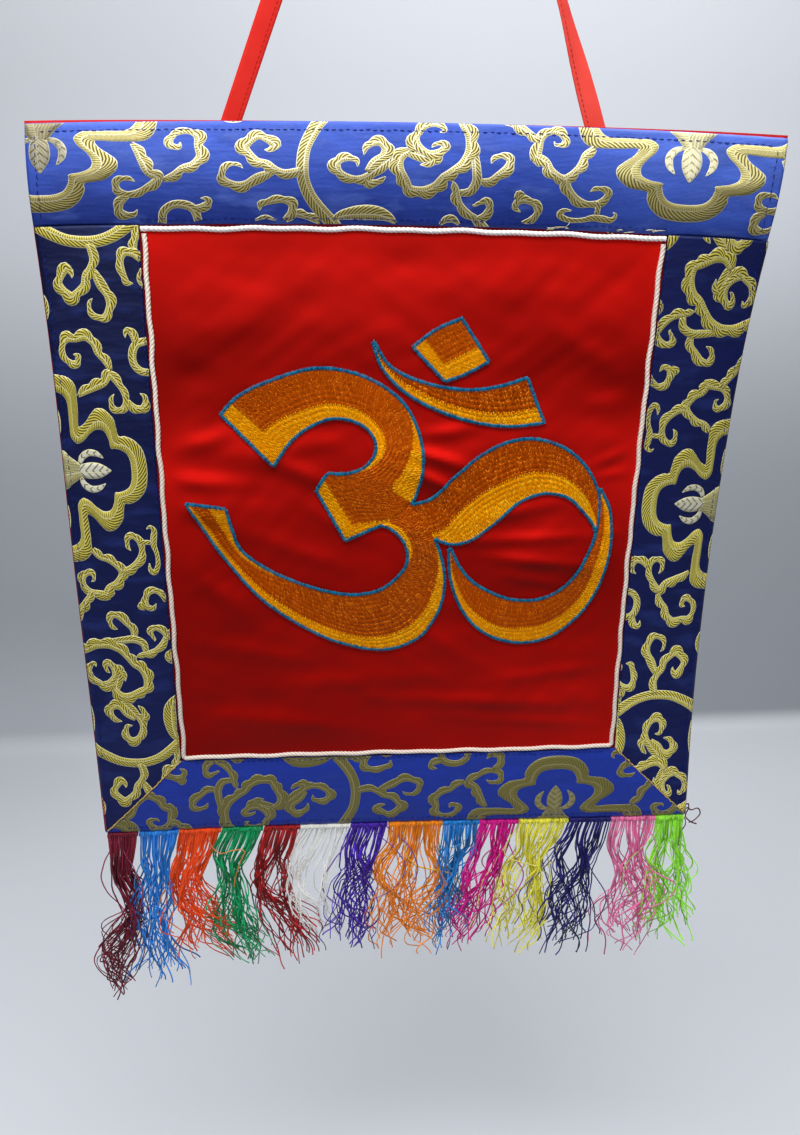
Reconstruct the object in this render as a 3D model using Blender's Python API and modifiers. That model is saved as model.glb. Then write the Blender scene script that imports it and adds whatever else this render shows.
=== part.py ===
"""An embroidered brocade banner, hung from a loop of sewn tape.

A red satin panel with an embroidered sign sits in a frame of blue and gold brocade strips. White cord
lies in the seams round the panel, a red lining backs the whole, and fourteen dyed bunches of yarn hang
from the hem. Metres, +Z up. The front faces -Y, and the origin is where the tape bears on its hook.

The cloth is laid out flat first: "across" runs right from the body's middle and "up" runs from the hem.
hang() then gives each flat point its place on the draped cloth.
"""

import math
import random
from collections import namedtuple

import bmesh
import bpy
from mathutils import Vector

# Flat sizes of the cloth.
BODY_WIDTH = 0.350
BODY_HEIGHT = 0.329  # from the hem to the seam under the top band
BAND_WIDTH = 0.355
BAND_HEIGHT = 0.047
STRIP_WIDTH = 0.048  # from the outer edge to the middle of the cord
FLARE_LEFT = 0.0025  # how far each side spreads at the top of the body
FLARE_RIGHT = 0.0035
FLARE_LENGTH = 0.090

# Layers, front to back, measured from the front of the lining.
GAP = 0.0003
LAYER_GAP = 0.0004
LINING_THICKNESS = 0.0010
PANEL_THICKNESS = 0.0012
STRIP_THICKNESS = 0.0014
EMBROIDERY_THICKNESS = 0.0010
EMBROIDERY_GAP = 0.0006
OUTLINE_REACH = 0.0008  # the stitched outline stands this far outside the ribs' ends
STROKE_STEP = 0.00008  # each stroke of the sign is this much thinner than the one it joins
LINING_PEEK = 0.0006  # how far the lining shows past the brocade at the sides
TOP_PEEK = 0.0014  # and over the top edge, towards its ends

# The cord in the seams.
CORD_RADIUS = 0.0016
CORD_SLOT = 0.0040
CORD_CORNER = 0.0020
CORD_STEP = 0.020

# The hanging tape and its hook.
HOOK_ACROSS = 0.010
HOOK_UP = 0.595
HOOK_BEHIND = 0.005
HOOK_RADIUS = 0.003
TAPE_WIDTH = 0.0094
TAPE_THICKNESS = 0.0018
TAPE_GAP = 0.0009  # between the lining and the tape sewn down behind it
TAPE_ROOT_LEFT = -0.0840  # where each leg crosses the top edge
TAPE_ROOT_RIGHT = 0.0915
TAPE_TUCK = 0.026  # the length sewn down behind the lining

# The hem fringe.
HEADING_HEIGHT = 0.0030
HEADING_DEPTH = 0.0044
HEADING_DROP = 0.0004  # below the cloth's edge
STRAND_RADIUS = 0.0007
STRAND_PITCH = 0.0046
STRAND_SPREAD = 0.0050  # how far the front and back rows stand out at their tips
STRAND_ROWS = (-0.0014, 0.0, 0.0014)
STRAND_STATIONS = (0.0, 0.12, 0.34, 0.58, 0.80, 1.0)

# How the cloth hangs: its depth at five places across, for six heights. Away from the viewer is positive.
Depths = namedtuple("Depths", "up left left_mid middle right_mid right")
PLACES = (-0.175, -0.090, 0.0, 0.090, 0.175)
DRAPE = (
    Depths(0.000, -0.009, 0.000, 0.002, -0.003, -0.012),
    Depths(0.080, -0.008, -0.001, 0.001, -0.001, -0.003),
    Depths(0.165, -0.008, -0.002, 0.000, -0.001, -0.001),
    Depths(0.250, -0.005, 0.000, 0.000, -0.002, -0.006),
    Depths(0.329, 0.000, 0.005, 0.004, -0.004, -0.014),
    Depths(0.376, 0.005, 0.011, 0.008, -0.004, -0.021),
)
SEAM_BOW = 0.0045  # the top seam bows up in its middle
HEM_SAG = 0.0075  # the hem sags in its middle
SEAM_TILT = -0.0017
HEM_TILT = -0.0012

# Soft ripples of the satin panel: each is a ridge of this height, long one way and narrow the other.
Ripple = namedtuple("Ripple", "across up half_length half_width lean height")
RIPPLES = (
    Ripple(-0.085, 0.222, 0.034, 0.013, -8, 0.0015),
    Ripple(-0.095, 0.196, 0.030, 0.012, -12, 0.0012),
    Ripple(0.022, 0.214, 0.026, 0.012, -6, 0.0014),
    Ripple(0.100, 0.238, 0.030, 0.014, 5, 0.0013),
    Ripple(0.078, 0.164, 0.040, 0.013, -4, 0.0016),
    Ripple(0.085, 0.080, 0.042, 0.015, -6, 0.0012),
    Ripple(-0.070, 0.064, 0.046, 0.016, 5, 0.0010),
    Ripple(-0.050, 0.290, 0.060, 0.016, 3, 0.0009),
    Ripple(0.060, 0.300, 0.050, 0.014, -4, 0.0008),
)
RIPPLE_MARGIN = 0.020
BAND_CROWN = 0.0032
STRIP_CROWN = 0.0016

# The embroidered sign, one table for each stroke: a row is a rib across it, from the outer edge to the inner.
Rib = namedtuple("Rib", "outer_across outer_up inner_across inner_up")
ARM = (
    Rib(-0.0950, 0.2420, -0.0690, 0.2160),
    Rib(-0.0855, 0.2510, -0.0600, 0.2280),
    Rib(-0.0690, 0.2585, -0.0500, 0.2355),
    Rib(-0.0450, 0.2645, -0.0370, 0.2400),
    Rib(-0.0210, 0.2605, -0.0230, 0.2370),
    Rib(-0.0020, 0.2490, -0.0155, 0.2290),
    Rib(0.0075, 0.2330, -0.0160, 0.2210),
    Rib(0.0100, 0.2150, -0.0220, 0.2145),
    Rib(0.0060, 0.1990, -0.0300, 0.2118),
    Rib(-0.0060, 0.1870, -0.0365, 0.2115),
    Rib(-0.0200, 0.1810, -0.0410, 0.2115),
    Rib(-0.0320, 0.1760, -0.0470, 0.2030),
)
BOWL = (
    Rib(-0.0100, 0.2020, -0.0320, 0.1765),
    Rib(0.0030, 0.1950, -0.0230, 0.1835),
    Rib(0.0150, 0.1800, -0.0090, 0.1830),
    Rib(0.0215, 0.1640, 0.0005, 0.1740),
    Rib(0.0230, 0.1480, 0.0020, 0.1630),
    Rib(0.0185, 0.1320, -0.0045, 0.1540),
    Rib(0.0070, 0.1185, -0.0140, 0.1477),
    Rib(-0.0125, 0.1130, -0.0280, 0.1455),
    Rib(-0.0350, 0.1175, -0.0430, 0.1478),
    Rib(-0.0580, 0.1285, -0.0600, 0.1535),
    Rib(-0.0790, 0.1445, -0.0750, 0.1608),
    Rib(-0.0950, 0.1640, -0.0880, 0.1712),
    Rib(-0.1060, 0.1810, -0.0925, 0.1835),
    Rib(-0.1155, 0.1970, -0.0950, 0.1940),
)
RIBBON = (
    Rib(-0.0080, 0.1960, 0.0020, 0.1760),
    Rib(0.0040, 0.1955, 0.0140, 0.1775),
    Rib(0.0150, 0.1985, 0.0260, 0.1735),
    Rib(0.0260, 0.2090, 0.0375, 0.1760),
    Rib(0.0400, 0.2205, 0.0500, 0.1850),
    Rib(0.0550, 0.2280, 0.0625, 0.1960),
    Rib(0.0700, 0.2300, 0.0760, 0.2010),
    Rib(0.0860, 0.2255, 0.0895, 0.1990),
    Rib(0.0985, 0.2155, 0.0990, 0.1910),
    Rib(0.1065, 0.2020, 0.1050, 0.1840),
    Rib(0.1090, 0.1880, 0.1065, 0.1800),
)
LOOP = (
    Rib(0.1095, 0.2060, 0.1085, 0.2040),
    Rib(0.1145, 0.1920, 0.1085, 0.1890),
    Rib(0.1160, 0.1770, 0.1065, 0.1760),
    Rib(0.1150, 0.1620, 0.1020, 0.1640),
    Rib(0.1100, 0.1450, 0.0960, 0.1530),
    Rib(0.1000, 0.1300, 0.0870, 0.1450),
    Rib(0.0860, 0.1190, 0.0770, 0.1410),
    Rib(0.0700, 0.1155, 0.0670, 0.1406),
    Rib(0.0550, 0.1180, 0.0570, 0.1425),
    Rib(0.0420, 0.1255, 0.0470, 0.1470),
    Rib(0.0325, 0.1375, 0.0390, 0.1520),
    Rib(0.0265, 0.1540, 0.0315, 0.1605),
    Rib(0.0250, 0.1710, 0.0260, 0.1712),
)
CRESCENT = (
    Rib(-0.0165, 0.2770, -0.0158, 0.2774),
    Rib(-0.0115, 0.2645, -0.0090, 0.2670),
    Rib(0.0000, 0.2530, 0.0020, 0.2605),
    Rib(0.0190, 0.2435, 0.0180, 0.2560),
    Rib(0.0390, 0.2380, 0.0350, 0.2545),
    Rib(0.0570, 0.2365, 0.0500, 0.2565),
    Rib(0.0740, 0.2385, 0.0640, 0.2610),
)
DOT = (
    Rib(0.0040, 0.2750, 0.0210, 0.2585),
    Rib(0.0160, 0.2835, 0.0320, 0.2625),
    Rib(0.0290, 0.2890, 0.0435, 0.2685),
)

# The fringe, from the left: how far each bunch reaches along the hem, and how its yarn leans and hangs.
Bunch = namedtuple("Bunch", "name start mid_lean tip_lean length red green blue")
BUNCHES = (
    Bunch("fringe_01_maroon", -0.1745, -0.004, -0.013, 0.106, 96, 16, 34),
    Bunch("fringe_02_blue", -0.157, -0.006, -0.012, 0.099, 28, 104, 178),
    Bunch("fringe_03_flame", -0.134, -0.010, 0.003, 0.091, 214, 66, 18),
    Bunch("fringe_04_green", -0.109, -0.011, -0.001, 0.097, 14, 112, 66),
    Bunch("fringe_05_dark_red", -0.084, -0.011, 0.000, 0.093, 118, 18, 20),
    Bunch("fringe_06_white", -0.062, -0.011, -0.006, 0.089, 226, 226, 220),
    Bunch("fringe_07_indigo", -0.031, -0.008, -0.006, 0.089, 50, 24, 118),
    Bunch("fringe_08_amber", -0.008, -0.004, -0.003, 0.089, 226, 130, 10),
    Bunch("fringe_09_teal", 0.026, -0.005, -0.007, 0.087, 20, 92, 150),
    Bunch("fringe_10_magenta", 0.049, -0.008, -0.014, 0.086, 168, 10, 112),
    Bunch("fringe_11_yellow", 0.073, -0.010, -0.014, 0.091, 214, 208, 50),
    Bunch("fringe_12_navy", 0.104, -0.006, -0.008, 0.093, 22, 20, 84),
    Bunch("fringe_13_pink", 0.130, -0.001, 0.002, 0.093, 222, 108, 160),
    Bunch("fringe_14_lime", 0.157, 0.004, 0.010, 0.087, 118, 206, 40),
)
FRINGE_END = 0.1745


def smooth_through(places, values, at):
    """The value at a place on a smooth line through the values at these places."""
    i = max(1, min(len(places) - 1, next((k for k, p in enumerate(places) if p >= at), len(places) - 1)))
    slopes = []
    for k in (i - 1, i):
        before, after = max(k - 1, 0), min(k + 1, len(places) - 1)
        slopes.append((values[after] - values[before]) / (places[after] - places[before]))
    span = places[i] - places[i - 1]
    t = (at - places[i - 1]) / span
    if t < 0:
        return values[0] + slopes[0] * (at - places[0])
    if t > 1:
        return values[-1] + slopes[1] * (at - places[-1])
    rise = values[i] - values[i - 1]
    curve = (slopes[0] + slopes[1]) * span - 2 * rise
    return values[i - 1] + t * (slopes[0] * span + t * (rise - slopes[0] * span - curve + t * curve))


def ease(t):
    """0 to 1, starting and ending gently."""
    t = max(0.0, min(1.0, t))
    return t * t * (3 - 2 * t)


def drape_depth(across, up):
    """How far behind its hanging plane the cloth lies."""
    heights = [row.up for row in DRAPE]
    line = [smooth_through(PLACES, row[1:], across) for row in DRAPE]
    return smooth_through(heights, line, up)


def hang(across, up, behind):
    """The place of a flat point once the banner hangs, this far behind the front of the lining."""
    share = across / (BODY_WIDTH / 2)
    rise = up / BODY_HEIGHT
    bow = 1 - share * share
    lift = SEAM_BOW * bow * rise - HEM_SAG * bow * (1 - rise) + share * (SEAM_TILT * rise + HEM_TILT * (1 - rise))
    return Vector((
        across - HOOK_ACROSS,
        drape_depth(across, up) + behind - HOOK_BEHIND,
        up + lift - HOOK_UP,
    ))


def edge(side, up):
    """How far across the cloth's edge lies: side is -1 on the left and 1 on the right."""
    if up > BODY_HEIGHT + CORD_SLOT / 2:
        return side * BAND_WIDTH / 2
    flare = FLARE_LEFT if side < 0 else FLARE_RIGHT
    start = BODY_HEIGHT - FLARE_LENGTH
    return side * (BODY_WIDTH / 2 + flare * max(0.0, (up - start) / FLARE_LENGTH) ** 2)


def ripple_height(across, up):
    """How far forward the panel's ripples stand, fading out at its edges."""
    total = 0.0
    for ripple in RIPPLES:
        lean = math.radians(ripple.lean)
        dx, dz = across - ripple.across, up - ripple.up
        along = (dx * math.cos(lean) + dz * math.sin(lean)) / ripple.half_length
        beside = (dz * math.cos(lean) - dx * math.sin(lean)) / ripple.half_width
        total += ripple.height * math.exp(-along * along - beside * beside)
    inside = BODY_WIDTH / 2 - STRIP_WIDTH
    room = min(inside - abs(across), up - STRIP_WIDTH, BODY_HEIGHT - up)
    return total * ease(room / RIPPLE_MARGIN)


def dyed(red, green, blue):
    """A display colour (0 to 255) as the linear colour that a shader takes."""
    return [(c / 255 / 12.92) if c <= 10 else ((c / 255 + 0.055) / 1.055) ** 2.4 for c in (red, green, blue)] + [1.0]


def finish(name, red, green, blue, roughness, metallic=0.0):
    """A Principled material in a dyed colour."""
    material = bpy.data.materials.new(name)
    material.use_nodes = True
    shader = material.node_tree.nodes["Principled BSDF"]
    shader.inputs["Base Color"].default_value = dyed(red, green, blue)
    shader.inputs["Roughness"].default_value = roughness
    shader.inputs["Metallic"].default_value = metallic
    return material


def clear_scene():
    for thing in list(bpy.data.objects):
        bpy.data.objects.remove(thing)


def new_collection(name):
    collection = bpy.data.collections.new(name)
    bpy.context.scene.collection.children.link(collection)
    return collection


def add_object(name, data, collection, material=None):
    thing = bpy.data.objects.new(name, data)
    collection.objects.link(thing)
    if material:
        data.materials.append(material)
    return thing


def add_helper(name, data, collection):
    """A cutter or guide, which isn't part of the banner."""
    helper = add_object(name, data, collection)
    helper.hide_render = True
    helper.display_type = "WIRE"
    return helper


def solidify(thing, thickness, offset=-1.0):
    modifier = thing.modifiers.new("thickness", "SOLIDIFY")
    modifier.thickness = thickness
    modifier.offset = offset
    return modifier


def grid_mesh(name, columns, rows, place):
    """A grid whose points are put by place(s, t), with s and t from 0 to 1."""
    shape = bmesh.new()
    bmesh.ops.create_grid(shape, x_segments=columns, y_segments=rows, size=0.5)
    for vert in shape.verts:
        vert.co = place(vert.co.x + 0.5, vert.co.y + 0.5)
    mesh = bpy.data.meshes.new(name)
    shape.to_mesh(mesh)
    shape.free()
    return mesh


def make_lining(parts):
    """The red backing, the whole size of the banner, which just shows past the brocade's edges."""
    top = BODY_HEIGHT + BAND_HEIGHT
    columns, rows = 17, 19

    def place(s, t):
        up = GAP + t * (top - GAP)
        left, right = edge(-1, up) - LINING_PEEK, edge(1, up) + LINING_PEEK
        across = left + s * (right - left)
        peek = TOP_PEEK * ease((t - 0.9) / 0.1) * abs(2 * s - 1) ** 1.5
        return hang(across, up + peek, 0.0)

    red = finish("lining_red", 176, 24, 30, 0.75)
    lining = add_object("lining", grid_mesh("lining", columns, rows, place), parts, red)
    solidify(lining, LINING_THICKNESS)


def make_panel(parts):
    """The satin panel inside the cord, with its soft ripples."""
    half = BODY_WIDTH / 2 - STRIP_WIDTH - CORD_SLOT / 2
    bottom = STRIP_WIDTH + CORD_SLOT / 2
    top = BODY_HEIGHT - CORD_SLOT / 2
    front = -(LAYER_GAP + PANEL_THICKNESS)

    def place(s, t):
        across = (2 * s - 1) * half
        up = bottom + t * (top - bottom)
        return hang(across, up, front - ripple_height(across, up))

    red = finish("satin_red", 178, 14, 12, 0.35)
    panel = add_object("centre_panel", grid_mesh("centre_panel", 18, 21, place), parts, red)
    solidify(panel, PANEL_THICKNESS)


def make_strip(parts, name, corners, columns, rows, crown, material):
    """A brocade strip between four flat corners: hem end outer, hem end inner, far end inner, far end outer.

    s runs across the strip from its outer edge and t along it. The strip is crowned: it puffs forward in
    the middle of its width.
    """
    a, b, c, d = corners
    front = -(LAYER_GAP + STRIP_THICKNESS)

    def place(s, t):
        near, far = a.lerp(b, s), d.lerp(c, s)
        flat = near.lerp(far, t)
        side = -1 if flat.x < 0 else 1
        spread = abs(edge(side, flat.y)) - BODY_WIDTH / 2 if flat.y <= BODY_HEIGHT else 0.0
        outwards = max(0.0, (abs(flat.x) - BODY_WIDTH / 2 + STRIP_WIDTH) / STRIP_WIDTH)
        puff = crown * 4 * s * (1 - s)
        return hang(flat.x + side * spread * outwards, flat.y, front - puff)

    strip = add_object(name, grid_mesh(name, columns, rows, place), parts, material)
    solidify(strip, STRIP_THICKNESS)


def make_frame(parts):
    """The four brocade strips. The lower corners are mitred, and the top band runs across the full width."""
    navy = finish("brocade_navy", 34, 44, 128, 0.45, 0.1)
    royal = finish("brocade_royal", 60, 84, 190, 0.45, 0.1)
    outer, inner = BODY_WIDTH / 2, BODY_WIDTH / 2 - STRIP_WIDTH + CORD_SLOT / 2
    high = BODY_HEIGHT + CORD_SLOT / 2 - GAP
    low = STRIP_WIDTH - CORD_SLOT / 2
    mitre = GAP / 2 * math.sqrt(2)
    for name, side in (("brocade_left", -1), ("brocade_right", 1)):
        corners = [
            Vector((side * outer, mitre)),
            Vector((side * inner, low + mitre)),
            Vector((side * inner, high)),
            Vector((side * outer, high)),
        ]
        columns, rows = 4, 22
        if side > 0:  # the grid runs the other way, so that its front still faces forward
            corners = [corners[k] for k in (1, 0, 3, 2)]
        make_strip(parts, name, corners, columns, rows, STRIP_CROWN, navy)
    corners = [Vector((-outer + mitre, 0.0)), Vector((outer - mitre, 0.0)),
               Vector((inner - mitre, low)), Vector((-inner + mitre, low))]
    make_cross_strip(parts, "brocade_bottom", corners, STRIP_CROWN, royal)
    seam, top = BODY_HEIGHT + CORD_SLOT / 2, BODY_HEIGHT + BAND_HEIGHT
    half = BAND_WIDTH / 2
    corners = [Vector((-half, seam)), Vector((half, seam)), Vector((half, top)), Vector((-half, top))]
    make_cross_strip(parts, "brocade_top", corners, BAND_CROWN, royal)


def make_cross_strip(parts, name, corners, crown, material):
    """A strip that runs across the banner: s runs along it and t up it."""
    a, b, c, d = corners
    front = -(LAYER_GAP + STRIP_THICKNESS)

    def place(s, t):
        flat = a.lerp(b, s).lerp(d.lerp(c, s), t)
        return hang(flat.x, flat.y, front - crown * 4 * t * (1 - t))

    strip = add_object(name, grid_mesh(name, 24, 4, place), parts, material)
    solidify(strip, STRIP_THICKNESS)


def cord_run(parts, name, corners, material):
    """Cord laid along the seams through these flat corners, with rounded turns."""
    points = []
    for start, end in zip(corners, corners[1:]):
        steps = max(2, round((end - start).length / CORD_STEP))
        points += [start.lerp(end, k / steps) for k in range(steps + 1)]
    curve = bpy.data.curves.new(name, "CURVE")
    curve.dimensions = "3D"
    curve.bevel_depth = CORD_RADIUS
    curve.bevel_resolution = 1
    curve.use_fill_caps = True
    spline = curve.splines.new("POLY")
    route = [p for k, p in enumerate(points) if k == 0 or (p - points[k - 1]).length > 1e-6]
    spline.points.add(len(route) - 1)
    for point, flat in zip(spline.points, route):
        point.co = (*hang(flat.x, flat.y, -(LAYER_GAP + CORD_RADIUS)), 1.0)
    add_object(name, curve, parts, material)


def make_cords(parts):
    """White cord in the seams: one run under the top band, and one down, across and up with rounded corners."""
    white = finish("cord_white", 232, 224, 220, 0.6)
    seam = BODY_WIDTH / 2 - STRIP_WIDTH
    end = seam + CORD_SLOT / 2 - 2 * GAP
    cord_run(parts, "cord_top", [Vector((-end, BODY_HEIGHT)), Vector((end, BODY_HEIGHT))], white)
    top = BODY_HEIGHT - CORD_RADIUS - 2 * GAP
    route = [Vector((-seam, top))]
    for side, turn in ((-1, math.pi), (1, 1.5 * math.pi)):
        centre = Vector((side * (seam - CORD_CORNER), STRIP_WIDTH + CORD_CORNER))
        for k in range(4):
            angle = turn + k * math.pi / 6
            route.append(centre + CORD_CORNER * Vector((math.cos(angle), math.sin(angle))))
    route.append(Vector((seam, top)))
    cord_run(parts, "cord_surround", route, white)


def rib_at(ribs, at):
    """The two ends of the stroke at a place between its ribs: 0 is the first rib and 1 the second."""
    places = list(range(len(ribs)))
    columns = list(zip(*ribs))
    values = [smooth_through(places, column, at) for column in columns]
    outer, inner = Vector(values[:2]), Vector(values[2:])
    border = (outer - inner).normalized() * OUTLINE_REACH
    return outer + border, inner - border


def flat_stroke(name, ribs, steps=2):
    """A stroke of the sign as a flat slab, still lying in the plane of the layout."""
    count = (len(ribs) - 1) * steps

    def place(s, t):
        outer, inner = rib_at(ribs, s * (len(ribs) - 1))
        flat = outer.lerp(inner, t)
        return Vector((flat.x, 0.0, flat.y))

    mesh = grid_mesh(name, count, 1, place)
    shape = bmesh.new()
    shape.from_mesh(mesh)
    if sum(face.calc_area() * face.normal.y for face in shape.faces) > 0:
        bmesh.ops.reverse_faces(shape, faces=shape.faces)
    shape.to_mesh(mesh)
    shape.free()
    return mesh


def hung_slab(name, flat_object, parts, material):
    """The flat slab cut along a regular grid and hung with the panel's own drape and ripples."""
    graph = bpy.context.evaluated_depsgraph_get()
    mesh = bpy.data.meshes.new_from_object(flat_object.evaluated_get(graph))
    mesh.name = name
    shape = bmesh.new()
    shape.from_mesh(mesh)
    step = 0.016
    for axis, low, high in ((0, -0.13, 0.13), (2, 0.10, 0.30)):
        for k in range(math.ceil(low / step), math.floor(high / step)):
            at, normal = Vector(), Vector()
            at[axis], normal[axis] = k * step + step / 3, 1.0
            geometry = shape.verts[:] + shape.edges[:] + shape.faces[:]
            bmesh.ops.bisect_plane(shape, geom=geometry, plane_co=at, plane_no=normal, dist=1e-5)
    bmesh.ops.remove_doubles(shape, verts=shape.verts, dist=2e-5)
    bmesh.ops.triangulate(shape, faces=shape.faces)
    middle = -(LAYER_GAP + PANEL_THICKNESS + EMBROIDERY_GAP + EMBROIDERY_THICKNESS / 2)
    for vert in shape.verts:
        across, behind, up = vert.co
        vert.co = hang(across, up, middle + behind - ripple_height(across, up))
    shape.to_mesh(mesh)
    shape.free()
    add_object(name, mesh, parts, material)
    bpy.data.objects.remove(flat_object)


def make_sign(parts, helpers):
    """The embroidered sign: its body is four strokes joined, and the crescent and dot stand above it."""
    gold = finish("embroidery_gold", 176, 92, 10, 0.4)
    strokes = []
    for name, ribs in (("arm", ARM), ("bowl", BOWL), ("ribbon", RIBBON), ("loop", LOOP)):
        stroke = add_helper(name, flat_stroke(name, ribs), helpers)
        solidify(stroke, EMBROIDERY_THICKNESS - len(strokes) * STROKE_STEP, offset=0.0)
        strokes.append(stroke)
    body = strokes[0]
    for other in strokes[1:]:
        union = body.modifiers.new("join_" + other.name, "BOOLEAN")
        union.operation = "UNION"
        union.object = other
    bpy.context.view_layer.update()
    hung_slab("sign_body", body, parts, gold)
    for other in strokes[1:]:
        bpy.data.objects.remove(other)
    for name, ribs in (("sign_crescent", CRESCENT), ("sign_dot", DOT)):
        flat = add_helper("flat_" + name, flat_stroke(name, ribs), helpers)
        solidify(flat, EMBROIDERY_THICKNESS, offset=0.0)
        bpy.context.view_layer.update()
        hung_slab(name, flat, parts, gold)


def tape_leg(side, root_across):
    """One leg of the tape, from its sewn-down end up to where it meets the hook, as (centre, width direction)."""
    top = BODY_HEIGHT + BAND_HEIGHT
    behind = LINING_THICKNESS + TAPE_GAP + TAPE_THICKNESS / 2
    bend = HOOK_RADIUS + TAPE_THICKNESS / 2
    hook = Vector((0.0, 0.0, -HOOK_RADIUS))
    root = hang(root_across, top, behind)
    reach = Vector((root.x - hook.x, root.z - hook.z))
    tilt = math.atan2(abs(reach.x), abs(reach.y)) - math.asin(bend / reach.length)
    up_leg = Vector((-side * math.sin(tilt), 0.0, math.cos(tilt)))
    outwards = Vector((side * math.cos(tilt), 0.0, math.sin(tilt)))
    meets = hook + outwards * bend
    meets.y = 0.0
    rows = []
    for k in range(4):  # the sewn-down end lies on the lining
        down = TAPE_TUCK * (1 - k / 4)
        flat = (root_across + side * math.sin(tilt) * down, top - math.cos(tilt) * down)
        across = Vector((math.cos(tilt), side * math.sin(tilt))) * TAPE_WIDTH / 2
        left = hang(flat[0] - across.x, flat[1] - across.y, behind)
        right = hang(flat[0] + across.x, flat[1] + across.y, behind)
        rows.append(((left + right) / 2, (right - left).normalized() * -side))
    flat_way = rows[-1][1]
    steps = 14
    for k in range(steps + 1):  # the free leg turns edge on as it climbs
        t = k / steps
        centre = root.lerp(meets, t)
        turn = ease((t - 0.25) / 0.7) if side < 0 else 0.55 * ease(t / 0.26) + 0.45 * ease((t - 0.3) / 0.65)
        angle = turn * math.pi / 2
        way = math.cos(angle) * flat_way + math.sin(angle) * Vector((0.0, -1.0, 0.0))
        way -= up_leg * way.dot(up_leg)
        rows.append((centre, way.normalized()))
    return rows, tilt, bend, hook


def make_tape(parts):
    """The sewn tape: both ends sewn down behind the lining, turned edge on where it passes over the hook."""
    left, tilt_left, bend, hook = tape_leg(-1, TAPE_ROOT_LEFT)
    right, tilt_right, _, _ = tape_leg(1, TAPE_ROOT_RIGHT)
    rows = list(left)
    first, last = math.pi - tilt_left, tilt_right
    turns = 8
    for k in range(1, turns):
        angle = first + (last - first) * k / turns
        rows.append((hook + bend * Vector((math.cos(angle), 0.0, math.sin(angle))), Vector((0.0, -1.0, 0.0))))
    rows += reversed(right)

    def place(s, t):
        centre, way = rows[round(t * (len(rows) - 1))]
        return centre + way * (s - 0.5) * TAPE_WIDTH

    red = finish("tape_red", 214, 36, 30, 0.55)
    tape = add_object("hanging_tape", grid_mesh("hanging_tape", 2, len(rows) - 1, place), parts, red)
    solidify(tape, TAPE_THICKNESS, offset=0.0)


def strand_profile(helpers):
    """The three-sided section of a strand."""
    curve = bpy.data.curves.new("strand_profile", "CURVE")
    curve.dimensions = "2D"
    spline = curve.splines.new("POLY")
    spline.points.add(2)
    for k, point in enumerate(spline.points):
        angle = 2 * math.pi * k / 3
        point.co = (STRAND_RADIUS * math.cos(angle), STRAND_RADIUS * math.sin(angle), 0.0, 1.0)
    spline.use_cyclic_u = True
    return add_helper("strand_profile", curve, helpers)


def lean_at(across, t):
    """How far a strand from this place on the hem has leaned sideways, at a share t of its length."""
    ends = [bunch.start for bunch in BUNCHES] + [FRINGE_END]
    middles = [(a + b) / 2 for a, b in zip(ends, ends[1:])]
    mid = smooth_through(middles, [bunch.mid_lean for bunch in BUNCHES], across)
    tip = smooth_through(middles, [bunch.tip_lean for bunch in BUNCHES], across)
    return smooth_through((0.0, 0.5, 1.0), (0.0, mid, tip), t)


def make_bunch(bunch, end, profile, parts, helpers, chance):
    """One dyed bunch: three rows of strands whose roots are fused into a narrow heading under the hem."""
    start = bunch.start + GAP / 2
    end -= GAP / 2
    middle_depth = (LINING_THICKNESS - LAYER_GAP - STRIP_THICKNESS) / 2
    shape = bmesh.new()
    bmesh.ops.create_cube(shape, size=1.0)
    for vert in shape.verts:
        across = (start + end) / 2 + vert.co.x * (end - start)
        up = -HEADING_DROP - HEADING_HEIGHT * (0.5 - vert.co.z)
        vert.co = hang(across, up, middle_depth + vert.co.y * HEADING_DEPTH)
    mesh = bpy.data.meshes.new(bunch.name)
    shape.to_mesh(mesh)
    shape.free()
    dye = finish(bunch.name, bunch.red, bunch.green, bunch.blue, 0.5)
    heading = add_object(bunch.name, mesh, parts, dye)

    curve = bpy.data.curves.new(bunch.name + "_strands", "CURVE")
    curve.dimensions = "3D"
    curve.bevel_mode = "OBJECT"
    curve.bevel_object = profile
    curve.use_fill_caps = True
    margin = STRAND_RADIUS + 2 * GAP
    room = end - start - 2 * margin
    columns = max(3, round(room / STRAND_PITCH))
    pitch = room / columns
    for row, root_depth in enumerate(STRAND_ROWS):
        for k in range(columns):
            across = start + margin + (k + (row + 0.5) / len(STRAND_ROWS)) * pitch
            length = bunch.length * chance.uniform(0.90, 1.06)
            sway, wave = chance.uniform(-0.0005, 0.0005), chance.uniform(-0.0008, 0.0008)
            spline = curve.splines.new("POLY")
            spline.points.add(len(STRAND_STATIONS) - 1)
            for point, t in zip(spline.points, STRAND_STATIONS):
                root = hang(across, -HEADING_DROP - HEADING_HEIGHT / 2, middle_depth + root_depth)
                out = (row - 1) * STRAND_SPREAD * t + wave * math.sin(math.pi * t)
                side = lean_at(across, t) + sway * t
                point.co = (root.x + side, root.y + out, root.z - length * t, 1.0)
    guide = add_helper(bunch.name + "_guide", curve, helpers)
    bpy.context.view_layer.update()
    graph = bpy.context.evaluated_depsgraph_get()
    strands = bpy.data.meshes.new_from_object(guide.evaluated_get(graph))
    bpy.data.objects.remove(guide)
    shape = bmesh.new()
    shape.from_mesh(strands)
    bmesh.ops.remove_doubles(shape, verts=shape.verts, dist=1e-6)
    bmesh.ops.recalc_face_normals(shape, faces=shape.faces)
    shape.to_mesh(strands)
    shape.free()
    join = heading.modifiers.new("strands", "BOOLEAN")
    join.operation = "UNION"
    join.object = add_helper(bunch.name + "_strands", strands, helpers)


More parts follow.
